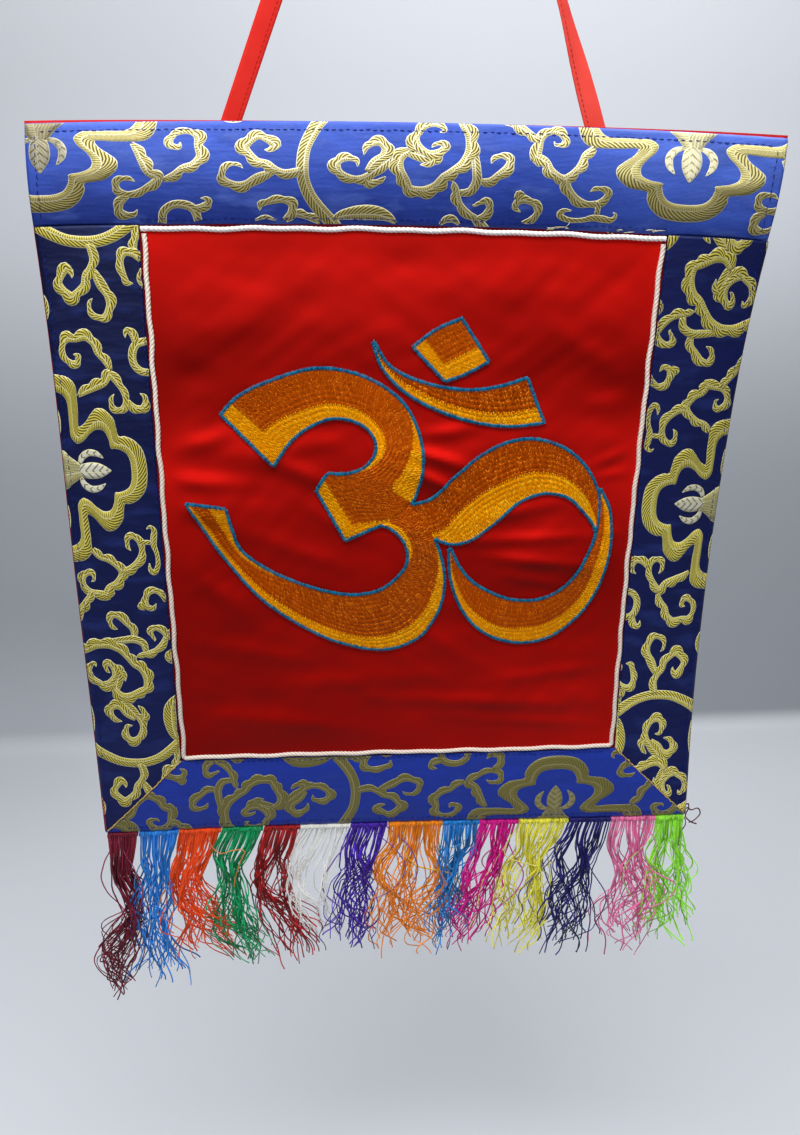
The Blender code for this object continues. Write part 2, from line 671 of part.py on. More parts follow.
def make_fringe(parts, helpers):
    profile = strand_profile(helpers)
    chance = random.Random(5)
    ends = [bunch.start for bunch in BUNCHES[1:]] + [FRINGE_END]
    for bunch, end in zip(BUNCHES, ends):
        make_bunch(bunch, end, profile, parts, helpers, chance)


def main():
    clear_scene()
    parts = new_collection("embroidered_banner")
    helpers = new_collection("helpers")
    make_lining(parts)
    make_panel(parts)
    make_frame(parts)
    make_cords(parts)
    make_sign(parts, helpers)
    make_tape(parts)
    make_fringe(parts, helpers)


main()
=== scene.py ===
# %% [markdown]
# # An embroidered brocade banner
# A red satin panel with a stitched sign is framed by four strips of brocade. White cord lies in the seams, a
# red lining backs the whole, and dyed yarn hangs from the hem. This lesson replaces each plain solid of the
# model by cloth, thread or yarn. The solids are loaded first, and their sizes aren't changed.

# %% Load the solids
import math
from collections import namedtuple

import bmesh
import bpy
import numpy as np
from mathutils import Matrix, Vector


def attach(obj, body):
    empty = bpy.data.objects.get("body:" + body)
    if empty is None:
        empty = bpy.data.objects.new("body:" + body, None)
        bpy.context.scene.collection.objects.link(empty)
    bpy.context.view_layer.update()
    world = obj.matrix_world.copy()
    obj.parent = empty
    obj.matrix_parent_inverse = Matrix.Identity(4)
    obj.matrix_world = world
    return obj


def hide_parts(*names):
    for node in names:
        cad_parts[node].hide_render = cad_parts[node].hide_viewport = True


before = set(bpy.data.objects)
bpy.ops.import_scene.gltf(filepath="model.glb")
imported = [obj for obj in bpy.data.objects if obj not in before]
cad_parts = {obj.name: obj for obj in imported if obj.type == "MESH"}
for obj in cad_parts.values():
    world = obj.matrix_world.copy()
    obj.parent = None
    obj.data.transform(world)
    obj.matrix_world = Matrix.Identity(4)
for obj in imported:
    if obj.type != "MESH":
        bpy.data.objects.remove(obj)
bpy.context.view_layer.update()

# %% [markdown]
# ## The camera
# The camera looks down on the banner from close by, so the hem comes out smaller than the top. Three
# directions at right angles turn it: its right, its up and the way it looks. They are the columns of its
# matrix, the last one reversed, because a camera looks along its own -Z.

# %% Camera
EYE = Vector((-0.0490, -0.4533, -0.2887))
LOOK = Vector((0.0788, 0.9466, -0.3126)).normalized()
ROLL = Vector((0.9967, -0.0809, 0.0063))


def set_camera():
    data = bpy.data.cameras.new("camera")
    data.lens, data.sensor_width, data.clip_start = 26.96, 36, 0.01
    camera = bpy.data.objects.new("camera", data)
    bpy.context.scene.collection.objects.link(camera)
    up = ROLL.cross(LOOK).normalized()
    right = LOOK.cross(up)
    turn = Matrix((right, up, -LOOK)).transposed().to_4x4()
    camera.matrix_world = Matrix.Translation(EYE) @ turn
    bpy.context.scene.camera = camera
    return camera


print("camera at", tuple(round(v, 3) for v in set_camera().matrix_world.translation))

# %% [markdown]
# ## Values and nodes as plain expressions
# Materials and Geometry Nodes are both trees of nodes. One small class wraps a socket and lets it be added,
# multiplied and compared, and one method adds any other node. The same two serve the shaders and the trees
# that stitch, ply and hang threads later on.

# %% A wire and a board
class Wire:
    """One output socket. Arithmetic on it adds Math nodes."""

    def __init__(self, board, socket):
        self.board, self.socket = board, socket

    def maths(self, operation, *values):
        return self.board.node("ShaderNodeMath", {"operation": operation}, values)

    def __add__(self, other):
        return self.maths("ADD", self, other)

    def __sub__(self, other):
        return self.maths("SUBTRACT", self, other)

    def __rsub__(self, other):
        return self.maths("SUBTRACT", other, self)

    def __mul__(self, other):
        return self.maths("MULTIPLY", self, other)

    def __truediv__(self, other):
        return self.maths("DIVIDE", self, other)

    def __rtruediv__(self, other):
        return self.maths("DIVIDE", other, self)

    __radd__, __rmul__ = __add__, __mul__

    def sine(self):
        return self.maths("SINE", self)

    def size(self):
        return self.maths("ABSOLUTE", self)

    def rise(self, low, high):
        """0 below low and 1 above high, with a soft step between."""
        settings = {"interpolation_type": "SMOOTHSTEP"}
        return self.board.node("ShaderNodeMapRange", settings, {"Value": self, "From Min": low, "From Max": high})

    def near(self, middle, reach):
        """1 at the middle value, falling to 0 this far from it."""
        return 1 - (self - middle).size().rise(reach * 0.5, reach)


print("a wire can", [name for name in vars(Wire) if name[0] != "_"])

# %% A board of nodes
class Board:
    """A node tree that calls draw on."""

    def __init__(self, tree):
        self.tree = tree

    def node(self, kind, settings=None, values=(), out=0):
        node = self.tree.nodes.new(kind)
        for name, value in (settings or {}).items():
            setattr(node, name, value)
        pairs = values.items() if isinstance(values, dict) else enumerate(values)
        for place, value in pairs:
            if isinstance(value, Wire):
                self.tree.links.new(value.socket, node.inputs[place])
            else:
                node.inputs[place].default_value = value
        return Wire(self, node.outputs[out])


print("a board adds nodes with", Board.node.__name__)

# %% [markdown]
# ## A finish
# Every surface is a Principled shader. Numbers that are the same all over are set on its own sockets, and
# what changes over the surface is wired in: colour, roughness and bump. Each cloth has a UV map called
# "flat", its place on the flat cloth in millimetres, so a weave follows the drape.

# %% Colours
def dyed(red, green, blue):
    """A display colour (0 to 255) as the linear colour that a shader takes."""
    shares = (c / 255 for c in (red, green, blue))
    return tuple(((c + 0.055) / 1.055) ** 2.4 if c > 10 / 255 else c / 12.92 for c in shares) + (1.0,)


print("a mid grey as the shader takes it:", [round(v, 3) for v in dyed(128, 128, 128)])


# %% A finish
class Finish(Board):
    """A material with one Principled shader."""

    def __init__(self, name, **fixed):
        self.material = bpy.data.materials.new(name)
        self.material.use_nodes = True
        super().__init__(self.material.node_tree)
        self.shader = self.tree.nodes["Principled BSDF"]
        for label, value in fixed.items():
            self.shader.inputs[label.replace("_", " ")].default_value = value

    def wear(self, **wires):
        for label, wire in wires.items():
            self.tree.links.new(wire.socket, self.shader.inputs[label.replace("_", " ")])

    def flat(self):
        """Across and up on the flat cloth, in millimetres."""
        place = self.node("ShaderNodeUVMap", {"uv_map": "flat"})
        return [self.node("ShaderNodeSeparateXYZ", values=[place], out=k) * 1000 for k in (0, 1)]

    def read(self, name):
        return self.node("ShaderNodeAttribute", {"attribute_name": name}, out=2)

    def join(self, x, y, z=0.0):
        return self.node("ShaderNodeCombineXYZ", values=[x, y, z])

    def cloud(self, x, y, scale, detail=2.0):
        """Soft random patches, 0 to 1."""
        return self.node("ShaderNodeTexNoise", values={"Vector": self.join(x, y), "Scale": scale, "Detail": detail})

    def place_cloud(self, scale, detail=2.0):
        """Soft random patches that sit still in space."""
        place = self.node("ShaderNodeTexCoord", out=3)
        return self.node("ShaderNodeTexNoise", values={"Vector": place, "Scale": scale, "Detail": detail})

    def mix(self, factor, first, second):
        return self.node("ShaderNodeMix", {"data_type": "RGBA"}, {0: factor, 6: first, 7: second}, out=2)

    def bump(self, height, distance, strength=1.0):
        """Height in 0 to 1, standing this many metres proud."""
        return self.node("ShaderNodeBump", values={"Strength": strength, "Distance": distance, "Height": height})


print("a finish can", [name for name in vars(Finish) if name[0] != "_"])

# %% [markdown]
# ## Light and stage
# A wide soft light hangs above and a little before the banner, so the cloth is brightest where it turns upwards and
# every low ripple shows. A weak one in front opens the shadows. The stage is one pale sheet that runs along the floor
# and curves up behind, with painted shade in its colour: darker low on the wall, softest on the left, darker towards
# the wall's top and on the floor by the wall at the left, while the floor is painted lighter than the wall.

# %% Adding things to the scene
def add(name, data, finish=None):
    thing = bpy.data.objects.new(name, data)
    bpy.context.scene.collection.objects.link(thing)
    if finish:
        data.materials.append(finish.material)
    return thing


def make_mesh(name, points, faces=(), edges=()):
    mesh = bpy.data.meshes.new(name)
    mesh.from_pydata([tuple(p) for p in points], [tuple(e) for e in edges], [tuple(f) for f in faces])
    if len(faces):
        mesh.polygons.foreach_set("use_smooth", [True] * len(mesh.polygons))
    return mesh


# %% Stage
FLOOR, WALL, SWEEP = -1.03, 0.86, 0.03  # the floor's height, the wall's depth and the bend between them
STAGE_HALF, STAGE_FRONT, STAGE_TOP = 4.0, -3.0, 2.5


def make_stage():
    line = [(STAGE_FRONT, FLOOR), (0.0, FLOOR)]
    for angle in np.linspace(-90, 0, 9):
        turn = math.radians(angle)
        line.append((WALL - SWEEP + SWEEP * math.cos(turn), FLOOR + SWEEP + SWEEP * math.sin(turn)))
    line.append((WALL, STAGE_TOP))
    points = [(x, y, z) for y, z in line for x in (-STAGE_HALF, STAGE_HALF)]
    faces = [(k, k + 1, k + 3, k + 2) for k in range(0, len(points) - 2, 2)]
    paper = Finish("pale_paper", Roughness=0.85)
    place = paper.node("ShaderNodeTexCoord", out=3)
    side, depth, height = (paper.node("ShaderNodeSeparateXYZ", values=[place], out=k) for k in range(3))
    # Painted shade on the paper: darker low on the wall and towards its top, and on the floor by the wall at the left;
    # the floor is painted lighter.
    left = 1 - (side + 0.55).rise(0.0, 0.45)
    shade = (height - FLOOR).rise(0.0, left * 0.26 + 0.03) * (1 - (height + 0.62).rise(0.0, 0.55))
    shade += (depth - 0.35).rise(0.0, 0.5) * left * (1 - (height - FLOOR).rise(0.0, 0.3)) * 0.45
    shade += (height + 0.25).rise(0.0, 0.25) * 0.36
    tone = paper.mix(paper.place_cloud(2.5), dyed(200, 204, 211), dyed(207, 210, 216))
    tone = paper.mix((height - FLOOR).rise(0.0, 0.3), dyed(215, 219, 225), tone)
    paper.wear(Base_Color=paper.mix(shade * 0.8, tone, dyed(150, 156, 162)))
    stage = add("stage", make_mesh("stage", points, faces), paper)
    return stage


print("stage faces:", len(make_stage().data.polygons))


# %% Lights
def add_light(name, place, target, size, watts, tint=(1.0, 1.0, 1.0)):
    data = bpy.data.lights.new(name, "AREA")
    data.shape, data.size, data.size_y = "RECTANGLE", size[0], size[1]
    data.energy, data.color = watts, tint
    lamp = add(name, data)
    lamp.location = place
    lamp.rotation_euler = (Vector(target) - Vector(place)).to_track_quat("-Z", "Y").to_euler()


def light_stage():
    add_light("overhead", (-0.10, -0.42, 0.42), (0.0, 0.02, -0.30), (0.8, 0.28), 10.0)
    add_light("front", (-0.45, -1.60, 0.10), (0.0, 0.0, -0.40), (1.4, 1.0), 3.0)
    add_light("floor_glow", (0.0, 0.35, 0.9), (0.0, 0.35, -0.95), (1.6, 0.5), 16.0)
    add_light("wall_wash", (0.50, 0.45, 0.20), (0.50, 0.86, -0.22), (1.2, 0.15), 1.6)
    world = bpy.data.worlds.new("studio")
    world.use_nodes = True
    world.node_tree.nodes["Background"].inputs["Color"].default_value = (0.80, 0.84, 0.92, 1.0)
    world.node_tree.nodes["Background"].inputs["Strength"].default_value = 0.16
    bpy.context.scene.world = world
    bpy.context.scene.view_settings.view_transform = "Standard"


light_stage()
print("lights:", len(bpy.data.lights))

# %% [markdown]
# ## How the cloth hangs
# The banner is laid out flat first: "across" runs right from the middle and "up" from the hem. One function
# gives each flat point its place on the draped cloth, and every layer uses it, so cord, thread and cloth stay
# together. A smooth line runs through the rows and columns of a table of depths. It is a weighted sum of the
# table's values, so the weights can be worked out for all points at once.

# %% Sizes of the cloth
BODY_WIDTH, BODY_HEIGHT = 0.350, 0.329
BAND_WIDTH, BAND_HEIGHT = 0.355, 0.047
STRIP_WIDTH, CORD_SLOT, CORD_RADIUS = 0.048, 0.0040, 0.0016
FLARE_LEFT, FLARE_RIGHT, FLARE_LENGTH = 0.0025, 0.0035, 0.090
LAYER_GAP, LINING_THICKNESS, PANEL_THICKNESS, STRIP_THICKNESS = 0.0004, 0.0010, 0.0012, 0.0014
LINING_PEEK, TOP_PEEK = 0.0006, 0.0014
HOOK_ACROSS, HOOK_UP, HOOK_BEHIND = 0.010, 0.595, 0.005
SEAM_BOW, HEM_SAG, SEAM_TILT, HEM_TILT = 0.0045, 0.0075, -0.0017, -0.0012
BAND_CROWN, STRIP_CROWN = 0.0032, 0.0016
PLACES = (-0.175, -0.090, 0.0, 0.090, 0.175)
HEIGHTS = (0.000, 0.080, 0.165, 0.250, 0.329, 0.376)
DRAPE = np.array((
    (-.009, 0, .002, -.003, -.012),
    (-.008, -.001, .001, -.001, -.003),
    (-.008, -.002, 0, -.001, -.001),
    (-.005, 0, 0, -.002, -.006),
    (0, .005, .004, -.004, -.014),
    (.005, .011, .008, -.004, -.021),
))
print("the drape reaches from", DRAPE.min(), "to", DRAPE.max())


# %% Drape
def weights(places, at):
    """Weights that turn values at these places into values at other ones, on a smooth line through them."""
    places, at = np.asarray(places, float), np.atleast_1d(np.asarray(at, float))
    count = len(places)
    k = np.clip(np.searchsorted(places, at), 1, count - 1)
    one, order = np.eye(count), np.arange(count)
    before, after = np.maximum(order - 1, 0), np.minimum(order + 1, count - 1)
    slope = (one[after] - one[before]) / (places[after] - places[before])[:, None]
    span = (places[k] - places[k - 1])[:, None]
    t = (at - places[k - 1])[:, None] / span
    inside = np.clip(t, 0.0, 1.0)
    first, last, step = slope[k - 1] * span, slope[k] * span, one[k] - one[k - 1]
    curve = first + last - 2 * step
    within = one[k - 1] + inside * (first + inside * (step - first - curve + inside * curve))
    return within + np.minimum(t, 0) * first + np.maximum(t - 1, 0) * last


def ease(t):
    """0 to 1, starting and ending gently."""
    t = np.clip(t, 0.0, 1.0)
    return t * t * (3 - 2 * t)


def hang(across, up, behind):
    """The places of flat points once the banner hangs, this far behind the front of the lining."""
    across, up, behind = np.broadcast_arrays(*(np.asarray(v, float) for v in (across, up, behind)))
    depth = np.einsum("ni,ij,nj->n", weights(HEIGHTS, up.ravel()), DRAPE, weights(PLACES, across.ravel()))
    share, rise = across / (BODY_WIDTH / 2), up / BODY_HEIGHT
    bow = 1 - share * share
    tilt = share * (SEAM_TILT * rise + HEM_TILT * (1 - rise))
    lift = SEAM_BOW * bow * rise - HEM_SAG * bow * (1 - rise) + tilt
    place = (across - HOOK_ACROSS, depth.reshape(across.shape) + behind - HOOK_BEHIND, up + lift - HOOK_UP)
    return np.stack(place, axis=-1)


def edge(side, up):
    """How far across the cloth's edge lies: side is -1 on the left and 1 on the right."""
    flare = FLARE_LEFT if side < 0 else FLARE_RIGHT
    spread = BODY_WIDTH / 2 + flare * np.clip((up - BODY_HEIGHT + FLARE_LENGTH) / FLARE_LENGTH, 0, None) ** 2
    return side * np.where(up > BODY_HEIGHT + CORD_SLOT / 2, BAND_WIDTH / 2, spread)


print("the middle of the hem hangs at", np.round(hang(0.0, 0.0, 0.0), 3))

# %% [markdown]
# ## Sheets of cloth
# A sheet is a fine grid whose points are hung, with a thickness given by Solidify, back from its front. A
# simulation could drape it, but the layers have to stay a fraction of a millimetre apart, which a shared
# drape keeps exactly.

# %% A sheet
def grid_faces(columns, rows):
    k = (np.arange(rows - 1)[:, None] * columns + np.arange(columns - 1)[None, :]).ravel()
    return np.stack((k, k + 1, k + columns + 1, k + columns), axis=1)


def lay_flat(mesh, across, up):
    """The UV map that keeps each point's place on the flat cloth, in metres."""
    layer = mesh.uv_layers.new(name="flat")
    corner = np.empty(len(mesh.loops), int)
    mesh.loops.foreach_get("vertex_index", corner)
    layer.data.foreach_set("uv", np.stack((across[corner], up[corner]), axis=1).ravel())


def grid_shares(columns, rows):
    """0 to 1 across and 0 to 1 up, for every point of the grid."""
    return [v.ravel() for v in np.meshgrid(np.linspace(0, 1, columns), np.linspace(0, 1, rows))]


def keep_value(mesh, label, values):
    """Store one number on each point for the finish to read."""
    mesh.attributes.new(label, "FLOAT", "POINT").data.foreach_set("value", np.asarray(values, np.float32))


def thicken(piece, thickness):
    """Give a sheet its thickness, back from its front."""
    wall = piece.modifiers.new("thickness", "SOLIDIFY")
    wall.thickness, wall.offset = thickness, -1.0
    return piece


def sheet_piece(name, columns, rows, place, thickness, finish):
    """place(s, t) gives across, up and behind for s and t from 0 to 1."""
    across, up, behind = place(*grid_shares(columns, rows))
    mesh = make_mesh(name, hang(across, up, behind), grid_faces(columns, rows))
    lay_flat(mesh, across, up)
    return thicken(add(name, mesh, finish), thickness)


print("faces of a grid of 3 by 3 points:", len(grid_faces(3, 3)))

# %% [markdown]
# ## The red lining
# A plain red backing just shows past the brocade at the sides and over the top edge. It is a plain weave: its
# bump is two fine waves crossed, and its colour drifts a little.

# %% Lining
def weave(across, up, pitch):
    """A plain weave, 0 to 1: threads rise and dip by turns."""
    x, y = across * (math.pi / pitch), up * (math.pi / pitch)
    return x.sine() * y.sine() * 0.5 + 0.5


def lining_finish():
    red = Finish("lining_red", Roughness=0.8, Specular_IOR_Level=0.15)
    across, up = red.flat()
    patches = red.cloud(across, up, 0.03)
    threads = weave(across, up, 0.45)
    tone = red.mix(patches, dyed(170, 20, 27), dyed(196, 30, 34))
    red.wear(Base_Color=red.mix(threads * 0.25, tone, dyed(120, 10, 16)), Normal=red.bump(threads, 0.00012))
    return red


LINING_BOTTOM = 0.0003
LINING_COLUMNS, LINING_ROWS = 72, 80


def lining_place(s, t):
    up = LINING_BOTTOM + t * (BODY_HEIGHT + BAND_HEIGHT - LINING_BOTTOM)
    left, right = edge(-1, up) - LINING_PEEK, edge(1, up) + LINING_PEEK
    peek = TOP_PEEK * ease((t - 0.9) / 0.1) * np.abs(2 * s - 1) ** 1.5
    return left + s * (right - left), up + peek, np.zeros_like(s)


lining = sheet_piece("lining_cloth", LINING_COLUMNS, LINING_ROWS, lining_place, LINING_THICKNESS, lining_finish())
print("lining grid:", len(lining.data.vertices))

# %% [markdown]
# ## The satin panel
# Satin shows long floating threads, so it is glossy and finely streaked. The embroidery pulls it into low
# ripples: soft ridges, long one way and narrow the other. The broad ones are in the solid, and the narrow
# ones are added here. A dozen faint waves, which come and go in patches, crumple the cloth between them.

# %% Ripples and creases
Ripple = namedtuple("Ripple", "across up half_length half_width lean height")
RIPPLES = [Ripple(*row) for row in (
    (-.085, .222, .034, .013, -8, .0015),
    (-.095, .196, .03, .012, -12, .0012),
    (.022, .214, .026, .012, -6, .0014),
    (.1, .238, .03, .014, 5, .0013),
    (.078, .164, .04, .013, -4, .0016),
    (.085, .08, .042, .015, -6, .0012),
    (-.07, .064, .046, .016, 5, .001),
    (-.05, .29, .06, .016, 3, .0009),
    (.06, .3, .05, .014, -4, .0008),
)]
CREASES = [Ripple(*row) for row in (
    (.018, .207, .013, .0032, -24, .0017),
    (.017, .22, .015, .0036, -16, .0018),
    (.022, .233, .014, .0038, 6, .0011),
    (.024, .198, .01, .003, -32, .0012),
    (-.056, .213, .022, .005, -24, .0011),
    (-.05, .226, .018, .005, 12, .0008),
    (.112, .25, .018, .0055, 4, .0009),
    (.056, .19, .028, .004, 10, .001),
    (.068, .176, .032, .0036, 2, .0011),
    (.076, .163, .027, .0034, -6, .001),
    (.074, .152, .018, .0034, -10, .0007),
    (.116, .222, .014, .0034, 22, .0009),
    (.119, .212, .012, .0032, 8, .0009),
    (.12, .178, .011, .0034, -14, .0009),
    (-.058, .17, .03, .0055, -20, .0009),
    (-.036, .184, .018, .0045, -30, .0007),
    (-.11, .208, .022, .0046, -4, .0013),
    (-.106, .228, .02, .0048, 14, .0011),
    (-.112, .192, .016, .0042, -16, .0009),
    (.02, .118, .022, .0055, -30, .0007),
    (-.1, .146, .02, .006, -42, .0009),
    (.04, .08, .055, .0046, -3, .0009),
    (.085, .096, .036, .0044, 6, .0008),
    (.07, .066, .04, .004, -5, .0006),
    (-.03, .094, .062, .006, 3, .0007),
    (-.07, .07, .04, .005, -6, .0006),
    (-.08, .112, .04, .0055, -10, .0006),
    (.095, .275, .024, .006, -28, .0008),
    (-.09, .285, .034, .0085, 24, .0005),
    (-.06, .262, .04, .008, 14, .0005),
)]
print("ripples:", len(RIPPLES), "creases:", len(CREASES))

# %% The panel's relief
Wave = namedtuple("Wave", "length lean phase height")
CRUMPLE_STEEPNESS, RIPPLE_MARGIN = 0.0030, 0.020
chance = np.random.default_rng(3)
CRUMPLE = tuple(Wave(length, chance.uniform(-0.7, 0.7), chance.uniform(0, 6.28), length * CRUMPLE_STEEPNESS)
                for length in np.geomspace(0.011, 0.060, 12))


def ripple_height(across, up):
    """How far forward the ripples stand, fading out at the panel's edges."""
    total = np.zeros_like(across)
    for ripple in RIPPLES + CREASES:
        lean = math.radians(ripple.lean)
        dx, dz = across - ripple.across, up - ripple.up
        along = (dx * math.cos(lean) + dz * math.sin(lean)) / ripple.half_length
        beside = (dz * math.cos(lean) - dx * math.sin(lean)) / ripple.half_width
        total += ripple.height * np.exp(-along * along - beside * beside)
    bend_across, bend_up = 0.006 * np.sin(up * 55 + 1), 0.006 * np.sin(across * 42)
    for wave in CRUMPLE:
        run = (across + bend_across) * math.sin(wave.lean) + (up + bend_up) * math.cos(wave.lean)
        patch = np.sin(across * 90 * math.cos(wave.phase) + up * 70 * math.sin(wave.phase) + wave.phase * 5)
        total += wave.height * patch * np.sin(wave.phase + run * 2 * math.pi / wave.length)
    inside = BODY_WIDTH / 2 - STRIP_WIDTH
    room = np.minimum(np.minimum(inside - np.abs(across), up - STRIP_WIDTH), BODY_HEIGHT - up)
    return total * ease(room / RIPPLE_MARGIN)


print("relief at the panel's middle:", ripple_height(np.zeros(1), np.full(1, BODY_HEIGHT / 2)).round(5))

# %% [markdown]
# ## The satin's sheen
# Real satin is bright where its long threads lie square to the light and dark where they tilt away. No lamp here gives
# just that, so the sheen is painted into the satin's colour: a small table says how bright each region is, three
# places across by nine heights, and the slope of the relief is added. This painted sheen is kept on the panel's
# points, so it stays with the cloth from whichever side it is seen.

# %% Sheen
PAINTED_SHEEN_PLACES = (-0.11, 0.0, 0.11)
PAINTED_SHEEN_HEIGHTS = (0.050, 0.110, 0.155, 0.190, 0.212, 0.231, 0.262, 0.290, 0.325)
PAINTED_SHEEN = np.array((
    (.56, .63, .76), (.6, .66, .69), (.63, .66, .62), (.76, .69, .8), (.87, .71, .85),
    (.74, .75, .86), (.57, .71, .58), (.66, .74, .78), (.82, .74, .85),
))
SLOPE_REACH, SLOPE_SHARE, DARKEST, DISPLAY_POWER = 0.0004, 1.1, 0.34, 2.2


def painted_satin_sheen(across, up):
    """Painted sheen for the satin's colour, 0 to 1: brightest where a ripple turns its floats up to the light."""
    wide = np.einsum("ni,ij,nj->n", weights(PAINTED_SHEEN_HEIGHTS, up), PAINTED_SHEEN, weights(PAINTED_SHEEN_PLACES, across))
    below, above = (ripple_height(across, up + reach) for reach in (-SLOPE_REACH, SLOPE_REACH))
    turned_up = (below - above) / (2 * SLOPE_REACH)
    return np.clip(wide * (1 + SLOPE_SHARE * turned_up), DARKEST, 1.0) ** DISPLAY_POWER


print("sheen from", PAINTED_SHEEN.min(), "to", PAINTED_SHEEN.max())


# %% Satin
def satin_finish():
    satin = Finish("satin_red", Metallic=0.35, Specular_IOR_Level=0.6, Specular_Tint=(1.0, 0.10, 0.07, 1.0))
    across, up = satin.flat()
    streaks = satin.cloud(across * 6.0, up * 0.5, 1.0, 3.0)
    patches = satin.cloud(across, up, 0.022)
    threads = weave(across, up, 0.35)
    # Painted sheen: the stored brightness, varied by random patches, sets the red between painted shade and a painted
    # highlight.
    tone = satin.mix(satin.read("gloss") * (patches * 0.5 + 0.75), dyed(20, 0, 0), dyed(255, 26, 19))
    satin.wear(
        Base_Color=satin.mix(streaks * 0.25, tone, dyed(140, 5, 5)),
        Roughness=0.33 + streaks * 0.14,
        Normal=satin.bump(threads * 0.4 + streaks * 0.6, 0.00006),
    )
    return satin


PANEL_FRONT, SATIN_THICKNESS = -(LAYER_GAP + PANEL_THICKNESS), 0.0008
PANEL_COLUMNS, PANEL_ROWS = 144, 160


def panel_place(s, t):
    half = BODY_WIDTH / 2 - STRIP_WIDTH
    across, up = (2 * s - 1) * half, STRIP_WIDTH + t * (BODY_HEIGHT - STRIP_WIDTH)
    return across, up, PANEL_FRONT - ripple_height(across, up)


panel = sheet_piece("satin_panel", PANEL_COLUMNS, PANEL_ROWS, panel_place, SATIN_THICKNESS, satin_finish())
across, up, _ = panel_place(*grid_shares(PANEL_COLUMNS, PANEL_ROWS))
# The painted sheen is kept on the panel's points, for the finish to read as "gloss".
keep_value(panel.data, "gloss", painted_satin_sheen(across, up))
print("panel grid:", len(panel.data.vertices))

# %% [markdown]
# ## The brocade ground
# The frame is four strips of one blue satin brocade, painted as shaded and lit copies: navy at the sides, where the
# weave is seen end on, and royal blue above and below. Each strip puffs forward in the middle of its width, its outer
# edge is rolled back, and low puckers run along the sewn edges. The blue grows darker towards the top of the side
# strips; the top band is painted lighter along its upper part, the folds carry painted shade and painted highlights,
# and the broad light at both ends of the top band is painted in its finish.

# %% Sizes of the strips
STRIP_OUTER, STRIP_INNER = BODY_WIDTH / 2, BODY_WIDTH / 2 - STRIP_WIDTH + CORD_SLOT / 2
STRIP_LOW, STRIP_HIGH = STRIP_WIDTH - CORD_SLOT / 2, BODY_HEIGHT + CORD_SLOT / 2
BAND_TOP = BODY_HEIGHT + BAND_HEIGHT
STRIP_FRONT = -(LAYER_GAP + STRIP_THICKNESS)
CLOTH_THICKNESS = 0.0007
ROLL_WIDTH, ROLL_DEPTH = 0.0016, 0.0006
MITRE = 0.0002
Strip = namedtuple("Strip", "name side crown corners")
STRIPS = (
    Strip("left", -1, STRIP_CROWN,
          ((-STRIP_OUTER, MITRE), (-STRIP_INNER, STRIP_LOW + MITRE), (-STRIP_INNER, STRIP_HIGH),
          (-STRIP_OUTER, STRIP_HIGH))),
    Strip("right", 1, STRIP_CROWN,
          ((STRIP_INNER, STRIP_LOW + MITRE), (STRIP_OUTER, MITRE), (STRIP_OUTER, STRIP_HIGH),
          (STRIP_INNER, STRIP_HIGH))),
    Strip("bottom", 0, STRIP_CROWN,
          ((-STRIP_OUTER + MITRE, 0.0), (STRIP_OUTER - MITRE, 0.0), (STRIP_INNER - MITRE, STRIP_LOW),
          (-STRIP_INNER + MITRE, STRIP_LOW))),
    Strip("top", 0, BAND_CROWN,
          ((-BAND_WIDTH / 2, STRIP_HIGH), (BAND_WIDTH / 2, STRIP_HIGH), (BAND_WIDTH / 2, BAND_TOP),
          (-BAND_WIDTH / 2, BAND_TOP))),
)
print("strips to cut:", [strip.name for strip in STRIPS])


# %% Relief of a strip
PUCKER_LENGTH, PUCKER_HEIGHT = 0.0125, 0.00018
SWELL_LENGTH, SWELL_HEIGHT = 0.085, 0.00035


def from_outer(strip, across, up):
    """How far a flat point lies inside the strip's outer edge, and how wide the strip is."""
    if strip.side:
        return STRIP_OUTER - np.abs(across), STRIP_OUTER - STRIP_INNER
    if strip.name == "bottom":
        return up, STRIP_LOW
    return BAND_TOP - up, BAND_TOP - STRIP_HIGH


def strip_behind(strip, across, up):
    """The depth of the strip's front: its crown, its rolled outer edge and its puckers."""
    inwards, width = from_outer(strip, across, up)
    t = np.clip(inwards / width, 0, 1)
    along = up if strip.side else across
    pucker = np.sin(along * 2 * math.pi / PUCKER_LENGTH + 2.2 * np.sin(along * 31))
    pucker = pucker * np.sin(along * 47 + strip.crown * 900)
    sewn = np.exp(-((t - 0.04) / 0.10) ** 2) + np.exp(-((t - 0.97) / 0.10) ** 2)
    roll = ROLL_DEPTH * np.clip(1 - inwards / ROLL_WIDTH, 0, 1) ** 2
    swell = SWELL_HEIGHT * np.sin(along * 2 * math.pi / SWELL_LENGTH + strip.crown * 1500) * 4 * t * (1 - t)
    return STRIP_FRONT - strip.crown * 4 * t * (1 - t) + roll - PUCKER_HEIGHT * pucker * sewn - swell


def flared(strip, across, up):
    """The side strips spread a little towards the top of the body."""
    if not strip.side:
        return across
    outwards = np.clip((np.abs(across) - BODY_WIDTH / 2 + STRIP_WIDTH) / STRIP_WIDTH, 0, 1)
    limit = np.minimum(up, BODY_HEIGHT)
    return across + (edge(strip.side, limit) - strip.side * BODY_WIDTH / 2) * outwards


print("the top band's middle lies", strip_behind(STRIPS[3], 0.0, (STRIP_HIGH + BAND_TOP) / 2).round(5), "back")


